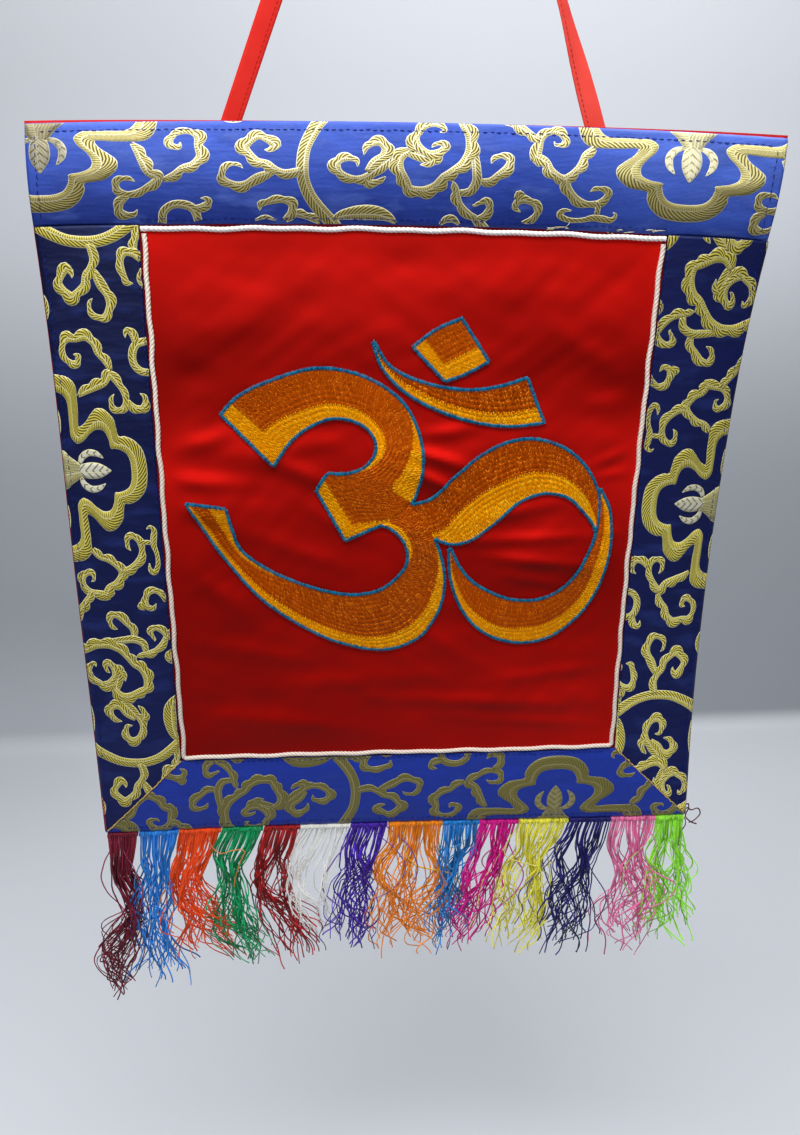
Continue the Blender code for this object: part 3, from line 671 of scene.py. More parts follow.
# %% Blue satin
def ground_finish(name, low, high, streak_and_fold_shade, lit, shine=0.0):
    """Blue satin, from low at the hem side to high at the other and towards high on the right, with painted shade and
    painted highlights on its folds and, when asked, a painted shine at both ends.
    """
    low, high, streak_and_fold_shade, lit = (dyed(*tone) for tone in (low, high, streak_and_fold_shade, lit))
    blue = Finish("brocade_" + name, Specular_IOR_Level=0.5, Specular_Tint=(0.35, 0.45, 1.0, 1.0))
    across, up = blue.flat()
    grade = blue.read("grade")
    ribs = (up * (2 * math.pi / 0.55)).sine() * 0.5 + 0.5
    streaks = blue.cloud(across * 0.6, up * 6.0, 1.0, 3.0)
    folds = blue.cloud(across * 0.35, up, 0.11, 3.0)
    patches = blue.cloud(across, up, 0.05)
    right_end_painted_share = (across - 60).rise(0.0, 90.0) * 0.45
    # Painted light: the tone goes from low to high up the strip and towards high on the right, so the top band is
    # lighter above and at its right end.
    tone = blue.mix((grade + right_end_painted_share + (patches - 0.5) * 0.35).rise(0.0, 1.0), low, high)
    # Painted highlight on the folds.
    tone = blue.mix(folds.rise(0.50, 0.76) * 0.62, tone, lit)
    if shine:
        # Painted shine at both ends of the top band, most at the right and on its upper part.
        ends = (across.size() - 50).rise(0.0, 100.0) * 0.15 + right_end_painted_share * 1.6
        tone = blue.mix(ends * grade * shine, tone, lit)
    blue.wear(
        # Painted shade on the folds, with the weave's dark streaks.
        Base_Color=blue.mix((streaks * 0.5 + folds * 0.7 - 0.2).rise(0.0, 1.0), tone, streak_and_fold_shade),
        Roughness=0.40 + streaks * 0.15,
        Normal=blue.bump(ribs * 0.06 + streaks * 0.06 + folds * 1.6, 0.0006),
    )
    return blue


# One blue cloth in painted copies: shaded navy at the sides, lit royal blue above and below.
GROUND = {
    "left": ground_finish("navy_left", (15, 24, 86), (5, 8, 50), (5, 7, 34), (50, 70, 162)),
    "right": ground_finish("navy_right", (13, 26, 98), (13, 20, 76), (5, 8, 38), (54, 74, 164)),
    "bottom": ground_finish("royal_bottom", (34, 60, 172), (36, 63, 180), (18, 31, 104), (64, 94, 212)),
    "top": ground_finish("royal_top", (26, 46, 128), (60, 95, 208), (14, 25, 86), (112, 146, 252), 0.8),
}
print("blue finishes:", [finish.material.name for finish in GROUND.values()])

# %% Strips
SIDE_GRID, CROSS_GRID = (36, 220), (236, 36)


def strip_piece(strip):
    corners = np.array(strip.corners)

    def place(s, t):
        near = corners[0] + s[:, None] * (corners[1] - corners[0])
        far = corners[3] + s[:, None] * (corners[2] - corners[3])
        flat = near + t[:, None] * (far - near)
        across, up = flat[:, 0], flat[:, 1]
        return flared(strip, across, up), up, strip_behind(strip, across, up)

    columns, rows = SIDE_GRID if strip.side else CROSS_GRID
    piece = sheet_piece(strip.name + "_brocade", columns, rows, place, CLOTH_THICKNESS, GROUND[strip.name])
    flat = np.empty(len(piece.data.vertices) * 3)
    piece.data.vertices.foreach_get("co", flat)
    grade = (flat[2::3] - flat[2::3].min()) / np.ptp(flat[2::3])
    keep_value(piece.data, "grade", grade)
    return piece


strips = {strip.name: strip_piece(strip) for strip in STRIPS}
print("strips:", list(strips))

# %% [markdown]
# ## The gold pattern
# Brocade carries its pattern as extra gold threads woven over the ground. This is the common cloud and lotus scroll,
# charted over one repeat, in millimetres: "along" runs with the strip and "in" from its outer edge. A stroke is a list
# of places on its middle line with half its width there. The cusped frame, whose corners are too sharp for that, is a
# list of ribs from its outer line to its inner one.

# %% The chart of one repeat
REPEAT = 277.0
BUD_ALONG = 214.8
SCROLLS = {
    "vine_left": ((58.5, -2, 3.6), (54.5, 2.5, 3.6), (51, 8, 3.5), (48, 14.5, 3.3), (46.8, 22, 3.3), (47.2, 29, 3.3),
        (49.5, 35.5, 3.4), (53.2, 41, 3.6), (58, 46.5, 3.6), (61, 50, 3.5)),
    "mound": ((59, 47, 0.8), (62, 45, 2.2), (66.5, 43.8, 3.3), (73, 43.2, 4.2), (79.5, 43.5, 3.9), (84, 45, 2.6),
        (87.3, 47.5, 1)),
    "curl_a1": ((86, 18.5, 2.4), (79.5, 23.5, 2.5), (75.5, 27, 2.7), (70.8, 28.5, 2.4), (66.5, 27.8, 2.3),
        (62.3, 25.6, 2.7), (60.8, 22, 3.2), (63, 19.3, 2.5), (67.2, 18.6, 2.1), (70.2, 20, 1.3), (70.7, 22.6, 0.4)),
    "curl_a2": ((73.5, 27, 1.6), (75.5, 29.8, 2.4), (78.8, 29.6, 1.9), (81.2, 28, 1.2), (82.9, 26.8, 0.3)),
    "curl_a3": ((75, 25, 2.2), (78, 20.6, 2.6), (82.3, 18, 3), (83.6, 14.2, 3.3), (81, 11.3, 2.8), (77.2, 11.6, 2.4),
        (74.5, 14, 1.6), (73.3, 17.3, 0.4)),
    "ring": ((93, 14.6, 2.2), (88.3, 18.5, 3.6), (88.2, 23.5, 3.5), (91, 28.8, 3.2), (93, 32.4, 3), (98.8, 33.4, 3.2),
        (104.8, 31.4, 3.4), (108.2, 27.3, 3), (112.2, 24.4, 2.9), (117, 20.5, 3.2), (120, 14.8, 3.5), (120, 8, 3.5),
        (117.6, 2.3, 3.5), (115.5, -2.5, 3.5)),
    "ring_lobe": ((92, 16, 2.2), (97, 17, 2.4), (102, 18.8, 2.8), (105.3, 18.2, 2.4), (107.5, 16.2, 1)),
    "ring_tip": ((104.5, 19, 2.4), (101, 20.8, 1.6), (97.7, 21.3, 0.3)),
    "ring_hook": ((95.5, 15.5, 2.6), (94.6, 10.5, 2.8), (97.2, 6.6, 2.4), (99.8, 3.6, 2.3), (103.8, 2.4, 2.1),
        (107.4, 3.4, 2), (108.4, 5.6, 1.2), (106.5, 6.6, 0.3)),
    "ring_curl": ((95.8, 9.5, 2.2), (97.2, 13, 2.2), (101, 16.3, 2.4), (106, 15.9, 2.4), (109, 13.2, 2.2),
        (106.8, 11.3, 1.6), (104, 12.4, 0.9), (102.9, 13.5, 0.3)),
    "stem": ((121.5, 15.5, 1.8), (122.2, 22.5, 2.5), (122.4, 28, 2.6), (119.8, 32.6, 2.4), (115.2, 33.5, 1.8)),
    "stem_hook": ((112, 28.2, 0.3), (113.1, 31, 1.9), (113.6, 35, 2.5), (115.2, 39, 2.4), (119, 42.8, 2.3),
        (124, 46, 2.4), (128, 49.5, 2.2)),
    "stem_curl": ((123, 45.5, 1.8), (127, 43.2, 2.3), (129, 39.7, 2.3), (127.2, 37, 1.9), (124.3, 37.5, 1.4),
        (122, 39, 0.7), (121, 38.4, 0.3)),
    "stem_leaf": ((123.5, 28.4, 2), (128.6, 28, 2.3), (132.6, 25.2, 2.6), (136.5, 21.5, 2.7), (137, 18, 2.3),
        (133.3, 16.3, 1.7), (130, 17.8, 1.3), (128.6, 20, 0.4)),
    "low_dome": ((107, 47.8, 0.8), (109.5, 45.6, 2), (112.5, 45.2, 2.1), (115.5, 47.6, 0.8)),
    "low_cloud": ((142.6, 41.3, 0.3), (140.3, 39.4, 1.5), (141.2, 36.2, 2.4), (145, 35.8, 2.1), (149, 37.4, 2.3),
        (150.3, 41.3, 2.1), (147.8, 44.3, 1.8), (143.5, 46, 0.8)),
    "low_bump": ((139.8, 35.4, 1.4), (141.6, 33, 1.5), (144, 33.6, 0.8)),
    "low_band": ((165.4, 39.7, 0.3), (162, 39.8, 1.3), (160.2, 41.8, 1.8), (164, 43.8, 1.5), (170, 43.8, 1.3),
        (175, 42.5, 1.8), (179.5, 42.8, 2), (183.2, 43.2, 1.5), (185, 41.2, 1), (183.8, 39.6, 0.3)),
    "low_stem": ((177, 35, 1.5), (176.6, 41, 1.5)),
    "high_leaf": ((131, -4, 2.4), (137, 0.6, 2.7), (142, 4, 2.8), (146, 6.8, 2.4), (150, 9, 2)),
    "cloud_head": ((147.8, 18.5, 3.4), (149, 12.5, 2.8), (150.3, 7.8, 2.4), (154, 4.8, 2.2), (158.5, 4.8, 2.4),
        (161.2, 8, 2.2), (159.8, 10.6, 1.6), (157, 10.6, 0.8), (156, 9.2, 0.3)),
    "cloud_stem": ((147.3, 16.5, 3.2), (152, 18.5, 3), (154.5, 22.5, 3), (158.5, 25.4, 2.8), (162, 25.8, 2.4)),
    "cloud_arm": ((160, 27, 2.6), (165, 23.5, 2.5), (168.3, 19.5, 2.5), (170.2, 14.8, 2.4), (174, 11.6, 2)),
    "cloud_curl": ((161.5, 25.5, 2.5), (162.5, 30, 2.8), (166, 34.2, 2.7), (171.5, 36.6, 2.1), (177.5, 35.6, 2),
        (180.8, 32.2, 2.2), (178.5, 29.5, 1.6), (175, 29.6, 1.2), (172.6, 30.9, 0.3)),
    "right_stem": ((252.3, 12, 1.2), (255, 16, 2.6), (257, 20, 3.2), (258.6, 24.5, 2.8), (261.8, 27, 2.9),
        (262.5, 29.5, 2.4)),
    "right_curl": ((263.5, 28, 2.4), (259.5, 31.2, 2.4), (255, 33.8, 2), (250, 35, 1.8), (246, 33.6, 2),
        (244.8, 30.5, 2), (247, 28, 1.7), (250.3, 28, 1.2), (253, 29.4, 0.3)),
    "right_tail": ((249.4, 35.5, 1.6), (245.8, 38.8, 2.4), (245.2, 42.5, 2.6), (248.2, 44.4, 2.2), (251.3, 43.8, 1.3),
        (253, 41.8, 0.3)),
    "comma": ((264.5, 28.9, 1.6), (269.5, 26.6, 2.4), (273, 23.8, 2.4), (277.5, 22.2, 2.6), (281, 18.5, 3.2),
        (280, 13.5, 2.6), (280.2, 9.4, 3), (276.5, 7, 1.8), (271, 7.4, 1.8), (267.8, 10.6, 2.2), (268.6, 13.6, 2),
        (271.5, 13.8, 1.4), (272.4, 11.8, 0.3)),
    "arch": ((262.8, 48, 2.2), (263.8, 43, 2.2), (267.5, 40, 2.2), (272.5, 39.8, 2.4), (276.5, 42, 2.4),
        (278, 47, 2.2)),
    "arch_tip": ((276, 42, 1.8), (280.5, 40.8, 2.2), (283.3, 39.2, 2.1), (282, 37.3, 1.2), (279.6, 36.9, 0.3)),
    "hook": ((311, 25.6, 2), (304.5, 27.8, 2.6), (300, 31, 2.9), (295.5, 31.6, 2.6), (291, 30, 2.4),
        (288.9, 27.3, 2.2), (290.2, 23.6, 1.8), (293.3, 21.6, 1.4), (296.6, 22.2, 0.9), (298.2, 23.6, 0.3)),
    "head": ((323, 25, 2.5), (316, 26, 2.4), (311.5, 24.4, 2.6), (308.5, 22.2, 2.8), (304.2, 20.8, 2.6),
        (300.8, 17.4, 2.6), (298.6, 14.2, 3.4), (301.4, 10.6, 3), (305.5, 8.8, 2.4), (309.4, 10.6, 2.4),
        (312.6, 13.4, 2.8), (309.6, 15.2, 1.2), (307.6, 15.4, 0.3)),
    "foot": ((304.6, 42.6, 0.3), (305.6, 39.6, 1.8), (310.5, 38, 2), (315.5, 37.6, 2.2), (319, 39.8, 2.6),
        (318.5, 43.5, 2.4), (315.5, 47, 2)),
    "foot_leaf": ((302.5, 46.8, 0.6), (307, 45.4, 1.2), (311.5, 46.8, 0.5)),
    "foot_arm": ((319.5, 43.5, 2.2), (325, 44.8, 2.2), (331, 47.4, 2)),
    "edge_a": ((61, -1.8, 1.2), (68, 0.2, 1.6), (76, 0.6, 1.8), (84, -0.5, 1.5), (89.5, -2.2, 0.8)),
    "edge_b": ((286.5, -2, 0.8), (291, 0.8, 1.8), (297, 1.2, 1.8), (302.5, -1.4, 0.8)),
    "edge_c": ((181, -1.4, 0.9), (187, 0.6, 1.3), (195, 0.6, 1.3), (201, -1.4, 0.9)),
    "edge_d": ((229, -1.4, 0.9), (236, 0.6, 1.3), (243, 0.6, 1.3), (249, -1.4, 0.9)),
}
print("strokes of the scroll:", len(SCROLLS))

# %% Plain strokes, the bud and its frame
PLAIN = ("vine_left", "mound", "low_band", "low_stem", "arch", "edge_a", "edge_b", "edge_c", "edge_d", "low_dome",
    "foot_leaf", "stem")
BUD = {
    "cap": ((214.8, -3, 13), (214.8, 2, 12), (214.8, 5, 8.6), (214.8, 8.5, 5.4), (214.8, 11, 2.5)),
    "leaf": ((214.8, 8.0, 1.6), (214.8, 11, 4.3), (214.8, 15.5, 5.2), (214.8, 19.5, 4.4), (214.8, 22.5, 2.4),
    (214.8, 24.8, 0.3)),
    "petal_left": ((211.8, 9.4, 0.9), (207.9, 11.0, 1.9), (205.6, 14.2, 2.1), (206, 18, 1.8), (208.3, 21.4, 0.3)),
    "petal_right": ((217.8, 9.4, 0.9), (221.7, 11.0, 1.9), (224, 14.2, 2.1), (223.6, 18, 1.8), (221.3, 21.4, 0.3)),
}
FRAME_HALF = (
    (166.5, -3, 175, -3), (166.7, 2, 175.3, 1.5), (168, 7.5, 177.5, 5), (172, 11, 181, 6.4), (179, 11.3, 186, 6.4),
    (185, 11.2, 192, 6.4), (189.5, 10.8, 197.5, 6.6), (192.3, 11, 200.8, 9.2), (190.5, 14, 199.5, 12.5),
    (186.5, 17, 195.8, 16.2), (183.5, 20, 193.9, 19.5), (184, 24, 194.6, 22.8), (188.5, 28, 198.5, 24.7),
    (193, 29, 203.4, 25.6), (197.3, 29.9, 203.6, 27.5), (197.5, 33, 204.5, 30.5), (200, 37.5, 206.5, 33),
    (205.5, 41.2, 210, 34.3), (BUD_ALONG, 42.4, BUD_ALONG, 34.6),
)
print("strokes in one repeat:", len(SCROLLS) + len(BUD) + 1)

# %% [markdown]
# ## Laying the pattern on the strips
# The chart's outer side always lies at the banner's edge, and the chart runs on round it. Sewing has
# stretched each strip a little differently, so a few marks say where the chart's features fall on it. Strokes
# are laid flat, cut off at the strip's four border lines, and then hung. Each point keeps its place on its
# stroke, from which the finish draws outlines and ribs.

# %% Where the chart falls
Lay = namedtuple("Lay", "marks places outer scale")
LAYS = {
    "left": Lay((-230, 47, 324, 400), (-230, 47, 324, 400), 176.0, 1.0),
    "top": Lay((-110, -62.2, 47, 120, BUD_ALONG, 324), (-225, -171.5, -49.5, 31.5, 134.8, 257), 378.0, 0.967),
    "right": Lay((-62.2, 47, 120, BUD_ALONG, 324, 397), (-485, -367, -287.8, -195.3, -79.5, -3), 175.5, 1.03),
    "bottom": Lay((-170, BUD_ALONG - REPEAT, 47, 120, 163, BUD_ALONG, 260),
    (-216, -94.3, 28.3, 106.5, 151.5, 206, 255), -3.1, 1.078),
}


def strip_place(strip, along, inwards):
    """Chart millimetres to the flat cloth in metres."""
    lay = LAYS[strip.name]
    down = np.interp(along, lay.marks, lay.places) / 1000
    if strip.name == "bottom":
        return -down, (lay.outer + lay.scale * inwards) / 1000
    reach = (lay.outer - lay.scale * inwards) / 1000
    return {"left": (-reach, down), "right": (reach, -down), "top": (down, reach)}[strip.name]


print("the left strip's bud lies at", np.round(strip_place(STRIPS[0], BUD_ALONG, 0.0), 3))

# %% Strokes
PATTERN_STEP = 0.85  # millimetres between the points of a stroke
LOBE_LENGTH = 7.0
THINNEST_HALF = 0.15


def run_along(points):
    """How far along the line through them each point lies."""
    return np.concatenate(([0], np.cumsum(np.linalg.norm(np.diff(points, axis=0), axis=1))))


def spaced(points, run, at):
    """Places at these distances along a line whose own points lie at the distances run."""
    return np.stack([np.interp(at, run, column) for column in points.T], axis=1)


def stroke_sides(points, lobed):
    """The outer and inner line of a stroke, close points along both. The inner side is the one it curls to.

    A cloud's outer side swells in even lobes with sharp notches between them.
    """
    table = np.array(points, float)
    rows = np.arange(len(table))
    length = np.hypot(*np.diff(table[:, :2], axis=0).T).sum()
    fine = weights(rows, np.linspace(0, rows[-1], max(6, round(length / PATTERN_STEP)))) @ table
    if table.shape[1] == 4:
        return fine[:, :2], fine[:, 2:]
    middle, half = fine[:, :2], np.maximum(fine[:, 2:], THINNEST_HALF)
    way = np.gradient(middle, axis=0)
    way /= np.linalg.norm(way, axis=1)[:, None]
    left = np.stack((-way[:, 1], way[:, 0]), axis=1)
    turning = np.cross(way[:-1], way[1:]).sum()
    if turning < 0:
        left = -left
    run = np.linspace(0, length, len(fine))[:, None]
    count = max(1, round(length / LOBE_LENGTH))
    swell = np.abs(np.sin(np.pi * count * run / length)) if lobed else 1.0
    return middle - left * half * (0.56 + 0.54 * swell if lobed else 0.86), middle + left * half * 0.78


def repeat_strokes():
    """Every stroke of the repeat, its kind of finish (0 scroll, 1 bud, 2 cap), and whether it is lobed."""
    mirrored = tuple((2 * BUD_ALONG - a, b, 2 * BUD_ALONG - c, d) for a, b, c, d in FRAME_HALF[-2::-1])
    yield FRAME_HALF + mirrored, 0.0, False
    for name, points in SCROLLS.items():
        yield points, 0.0, name not in PLAIN
    for name, points in BUD.items():
        yield points, 2.0 if name == "cap" else 1.0, False


print("points of the vine:", len(stroke_sides(SCROLLS["vine_left"], False)[0]))

# %% Pattern meshes
PATTERN_LIFT, PATTERN_CROWN, PATTERN_COLUMNS = 0.00007, 0.00005, 5
PATTERN_LAYER, PATTERN_LAYERS = 0.000012, 7  # strokes that cross lie at different heights, so none flickers
PATTERN_INSET = 0.0002


def lay_stroke(shape, layers, strip, shift, order, stroke):
    """Lay one stroke on the flat strip, this far along, if the strip reaches there."""
    points, kind, lobed = stroke
    outer, inner = stroke_sides(points, lobed)
    marks = LAYS[strip.name].marks
    if not marks[0] < outer[:, 0].mean() + shift < marks[-1]:
        return
    width = np.linalg.norm(outer - inner, axis=1)
    along = run_along((outer + inner) / 2)
    rows = []
    for k in range(len(outer)):
        row = []
        for s in np.linspace(0, 1, PATTERN_COLUMNS):
            chart = outer[k] + (inner[k] - outer[k]) * s
            x, z = strip_place(strip, chart[0] + shift, chart[1])
            vert = shape.verts.new((float(x), 0.0, float(z)))
            crown = PATTERN_LIFT + PATTERN_CROWN * 4 * s * (1 - s) * min(1.0, width[k] / 4)
            crown += PATTERN_LAYER * (order % PATTERN_LAYERS)
            values = (along[k], s * width[k], width[k] / 2, kind, crown)
            for layer, value in zip(layers, values):
                vert[layer] = float(value)
            row.append(vert)
        rows.append(row)
    for low, high in zip(rows, rows[1:]):
        for a, b, c, d in zip(low, low[1:], high[1:], high):
            shape.faces.new((a, b, c, d))


def cut_to_strip(shape, strip):
    """Cut off what lies past the strip's four border lines."""
    corners = [Vector((x, 0.0, z)) for x, z in strip.corners]
    for start, end in zip(corners, corners[1:] + corners[:1]):
        outwards = Vector((0.0, 1.0, 0.0)).cross(end - start).normalized()
        geometry = shape.verts[:] + shape.edges[:] + shape.faces[:]
        place = start - outwards * PATTERN_INSET
        bmesh.ops.bisect_plane(shape, geom=geometry, plane_co=place, plane_no=outwards, clear_outer=True)
    bmesh.ops.delete(shape, geom=[v for v in shape.verts if not v.link_faces], context="VERTS")


def pattern_mesh(strip):
    shape = bmesh.new()
    layers = [shape.verts.layers.float.new(name) for name in ("along", "inwards", "half", "kind", "lift")]
    for repeat in (-1, 0, 1):
        for order, stroke in enumerate(repeat_strokes()):
            lay_stroke(shape, layers, strip, repeat * REPEAT, order, stroke)
    cut_to_strip(shape, strip)
    shape.normal_update()
    bmesh.ops.reverse_faces(shape, faces=[f for f in shape.faces if f.normal.y > 0])
    lift = np.array([v[layers[-1]] for v in shape.verts])
    flat = np.array([tuple(v.co) for v in shape.verts])
    across, up = flat[:, 0], flat[:, 2]
    behind = strip_behind(strip, across, up) - lift
    for vert, place in zip(shape.verts, hang(flared(strip, across, up), up, behind)):
        vert.co = place
    mesh = bpy.data.meshes.new(strip.name + "_pattern")
    shape.to_mesh(mesh)
    shape.free()
    mesh.polygons.foreach_set("use_smooth", [True] * len(mesh.polygons))
    lay_flat(mesh, across, up)
    return mesh


meshes = {strip.name: pattern_mesh(strip) for strip in STRIPS}
print("pattern faces:", {name: len(mesh.polygons) for name, mesh in meshes.items()})


# %% Gold thread
def gold_finish(name, thread, shade, pale, bright, painted_shade_to_top=0.0, shaded_below=0.0):
    """Gold weave: pale outlines, a ribbed twill band, a thin line, and a second band on the inner side.

    It is painted darker towards the top, by a given share. When a height in millimetres is given, painted shade dulls
    the gold below it and at the left end, where it turns away from the light, and a painted highlight brightens its
    right end.
    """
    thread, shade, pale, bright = (dyed(*tone) for tone in (thread, shade, pale, bright))
    gold = Finish("gold_" + name, Specular_IOR_Level=0.7, Specular_Tint=(1.0, 0.86, 0.45, 1.0))
    along, inwards, half, kind = (gold.read(key) for key in ("along", "inwards", "half", "kind"))
    across, up = gold.flat()
    from_inner = half * 2 - inwards
    rim = 1 - inwards.rise(0.25, 0.50) * from_inner.rise(0.22, 0.45)
    wide = half.rise(1.3, 2.0)
    line = (from_inner - half * 0.75).near(0.0, 0.30) * wide
    twill = ((along * 0.6 + inwards * 0.9) * (2 * math.pi / 1.25)).sine() * 0.5 + 0.5
    inner_rib = (along * (2 * math.pi / 1.1)).sine() * 0.5 + 0.5
    in_band = (half * 0.75 - from_inner).rise(-0.1, 0.1) * wide
    ribs = twill * (1 - in_band) + (inner_rib * 0.6 + 0.32) * in_band
    leaf = kind.near(1.0, 0.6)
    cap = kind.rise(1.4, 1.6)
    vein = ((along + (inwards - half).size() * -0.9) * (2 * math.pi / 3.4)).sine().rise(0.55, 0.85)
    fleck = gold.cloud(across, up, 1.6, 2.0)
    body = gold.mix((ribs * 0.95 + fleck * 0.6).rise(0.42, 1.14), shade, thread)
    petal = gold.mix(vein * 0.75 + fleck * 0.2, bright, shade)
    body = gold.mix(leaf, body, petal)
    body = gold.mix(cap * 0.75, body, gold.mix(fleck, shade, pale))
    edge_tone = gold.mix(rim + line * (1 - rim), body, pale)
    # Painted shade, deepening towards the top.
    edge_tone = gold.mix(up.rise(60.0, 320.0) * painted_shade_to_top, edge_tone, shade)
    if shaded_below:
        # Painted highlight towards the right end.
        edge_tone = gold.mix(across.rise(30.0, 150.0) * (ribs * 0.65 + 0.05), edge_tone, dyed(255, 244, 166))
        # Painted shade below the given height and at the left end, where the gold turns away from the light.
        lit_gold = (up + (fleck - 0.5) * 4).rise(shaded_below - 5, shaded_below + 3) * across.rise(-164.0, -152.0)
        painted_dull = (1 - lit_gold) * 0.72
        shadow = gold.mix(ribs, dyed(50, 44, 12), dyed(98, 88, 36))
        edge_tone = gold.mix(painted_dull, edge_tone, gold.mix(rim, shadow, dyed(165, 160, 115)))
    gold.wear(
        Base_Color=edge_tone,
        Roughness=0.50 - ribs * 0.16,
        Normal=gold.bump(ribs * 0.6 + rim * 0.4 + line * 0.4, 0.00010),
    )
    return gold


SIDE_GOLD = ((224, 209, 88), (62, 55, 8), (226, 222, 176), (232, 232, 212))
# One gold thread in painted lit and shaded copies: brighter on the right strip, dull and dark on the bottom one. The
# number after the colours is the painted shade towards the top; the top band's last number is the height, in
# millimetres, below which its gold is painted in shade.
GOLD = {
    "left": gold_finish("left", *SIDE_GOLD, 0.10),
    "right": gold_finish("right", (252, 238, 108), *SIDE_GOLD[1:], 0.42),
    "bottom": gold_finish("bottom", (126, 120, 60), (88, 84, 46), (150, 144, 106), (150, 144, 98)),
    "top": gold_finish("top", (240, 226, 146), (60, 48, 12), (255, 253, 236), (248, 246, 232), 0.0, 356),
}
GOLD_THICKNESS = 0.00025
patterns = {}
for name, mesh in meshes.items():
    patterns[name] = thicken(add(name + "_pattern", mesh, GOLD[name]), GOLD_THICKNESS)
print("gold laid on:", list(patterns))

# %% [markdown]
# ## Trees that make thread
# Stitches, plied cord and yarn are all a line with a section swept along it. A Geometry Nodes tree does the
# sweeping, so a thousand stitches cost no more script than one. Its randomness comes from a seed, and its
# result is kept as a plain mesh.

# %% A tree, and how its result is kept
class Tree(Board):
    """A Geometry Nodes tree that turns a mesh of lines into threads."""

    SOCKETS = {float: "NodeSocketFloat", int: "NodeSocketInt", bpy.types.Material: "NodeSocketMaterial"}

    def __init__(self, name, **inputs):
        group = bpy.data.node_groups.new(name, "GeometryNodeTree")
        super().__init__(group)
        for way in ("INPUT", "OUTPUT"):
            group.interface.new_socket("Geometry", in_out=way, socket_type="NodeSocketGeometry")
        for label, kind in inputs.items():
            group.interface.new_socket(label, in_out="INPUT", socket_type=self.SOCKETS[kind])
        entry = group.nodes.new("NodeGroupInput")
        self.lines = Wire(self, entry.outputs[0])
        self.inputs = {label: Wire(self, entry.outputs[label]) for label in inputs}
        self.end = group.nodes.new("NodeGroupOutput")

    def curves(self, count):
        """The lines as curves with this many points each."""
        curves = self.node("GeometryNodeMeshToCurve", values=[self.lines])
        return self.node("GeometryNodeResampleCurve", {"mode": "COUNT"}, {"Curve": curves, "Count": count})

    def chance(self, low, high, shift=0):
        """One random value for each curve."""
        seed = self.inputs["Seed"] + shift
        random = self.node("FunctionNodeRandomValue", {"data_type": "FLOAT"}, {2: low, 3: high, 8: seed}, out=1)
        return self.node("GeometryNodeFieldOnDomain", {"domain": "CURVE", "data_type": "FLOAT"}, [random])

    def share(self):
        """0 to 1 along each curve."""
        return self.node("GeometryNodeSplineParameter")

    def move(self, curves, x=0.0, y=0.0, z=0.0):
        offset = self.node("ShaderNodeCombineXYZ", values=[x, y, z])
        return self.node("GeometryNodeSetPosition", values={"Geometry": curves, "Offset": offset})

    def keep(self, geometry, label, value):
        """Store a value on each point for the finish to read."""
        return self.node("GeometryNodeStoreNamedAttribute", {"data_type": "FLOAT", "domain": "POINT"},
                         {"Geometry": geometry, "Name": label, "Value": value})

    def sweep(self, curves, profile, scale):
        """Sweep the profile along the curves, and finish the tree."""
        parts = {"Curve": curves, "Profile Curve": profile, "Scale": scale, "Fill Caps": True}
        mesh = self.node("GeometryNodeCurveToMesh", values=parts)
        smooth = self.node("GeometryNodeSetShadeSmooth", values=[mesh])
        dressed = self.node("GeometryNodeSetMaterial",
            values={"Geometry": smooth, "Material": self.inputs["Material"]})
        real = self.node("GeometryNodeRealizeInstances", values=[dressed])
        self.tree.links.new(real.socket, self.end.inputs[0])

    def circle(self, sides, radius):
        return self.node("GeometryNodeCurvePrimitiveCircle", {"mode": "RADIUS"},
            {"Resolution": sides, "Radius": radius})


print("a tree can", [name for name in vars(Tree) if name[0] != "_"])


# %% Growing threads
def grow(name, source, tree, **inputs):
    """Run the tree on a mesh of lines and keep the threads as a plain mesh."""
    holder = add(name + "_lines", source)
    step = holder.modifiers.new("threads", "NODES")
    step.node_group = tree.tree
    for item in tree.tree.interface.items_tree:
        if item.in_out == "INPUT" and item.name in inputs:
            step[item.identifier] = inputs[item.name]
    graph = bpy.context.evaluated_depsgraph_get()
    mesh = bpy.data.meshes.new_from_object(holder.evaluated_get(graph))
    bpy.data.objects.remove(holder)
    mesh.name = name
    return add(name, mesh)


def line_mesh(name, starts, ends, **values):
    """One edge for each thread, with values for the finish at both its ends."""
    count = len(starts)
    points = np.stack((starts, ends), axis=1).reshape(-1, 3)
    mesh = make_mesh(name, points, edges=np.arange(2 * count).reshape(-1, 2))
    for label, value in values.items():
        keep_value(mesh, label, np.repeat(value, 2))
    return mesh


print("threads grow from:", [kind.__name__ for kind in (line_mesh, grow)])


# %% Stitches
def stitch_tree():
    """A stitch dips into the cloth at both ends and stands proud between them."""
    tree = Tree("stitches", Arch=float, Radius=float, Points=int, Sides=int, Seed=int, Material=bpy.types.Material)
    curves = tree.curves(tree.inputs["Points"])
    t = tree.share()
    hump = t * (1 - t) * 4
    curves = tree.move(curves, y=hump * tree.inputs["Arch"] * tree.chance(-1.25, -0.8))
    curves = tree.keep(curves, "shade", tree.chance(0.0, 1.0, 3))
    curves = tree.keep(curves, "hump", hump)
    section = tree.circle(tree.inputs["Sides"], tree.inputs["Radius"])
    tree.sweep(curves, section, (hump * 0.45 + 0.55) * tree.chance(0.85, 1.15, 7))
    return tree


STITCHES = stitch_tree()
print("thread trees:", [group.name for group in bpy.data.node_groups])

# %% [markdown]
# ## The embroidered sign
# The sign is satin stitch on a padded base: rows of short parallel stitches across each stroke, burnt orange
# in the body and bright gold along the lit edge, with a blue border stitch all round. Each stroke is a table
# of ribs in millimetres, from its outer edge to its inner. Two more rows say what share of each rib is gold,
# from the outer end and from the inner.

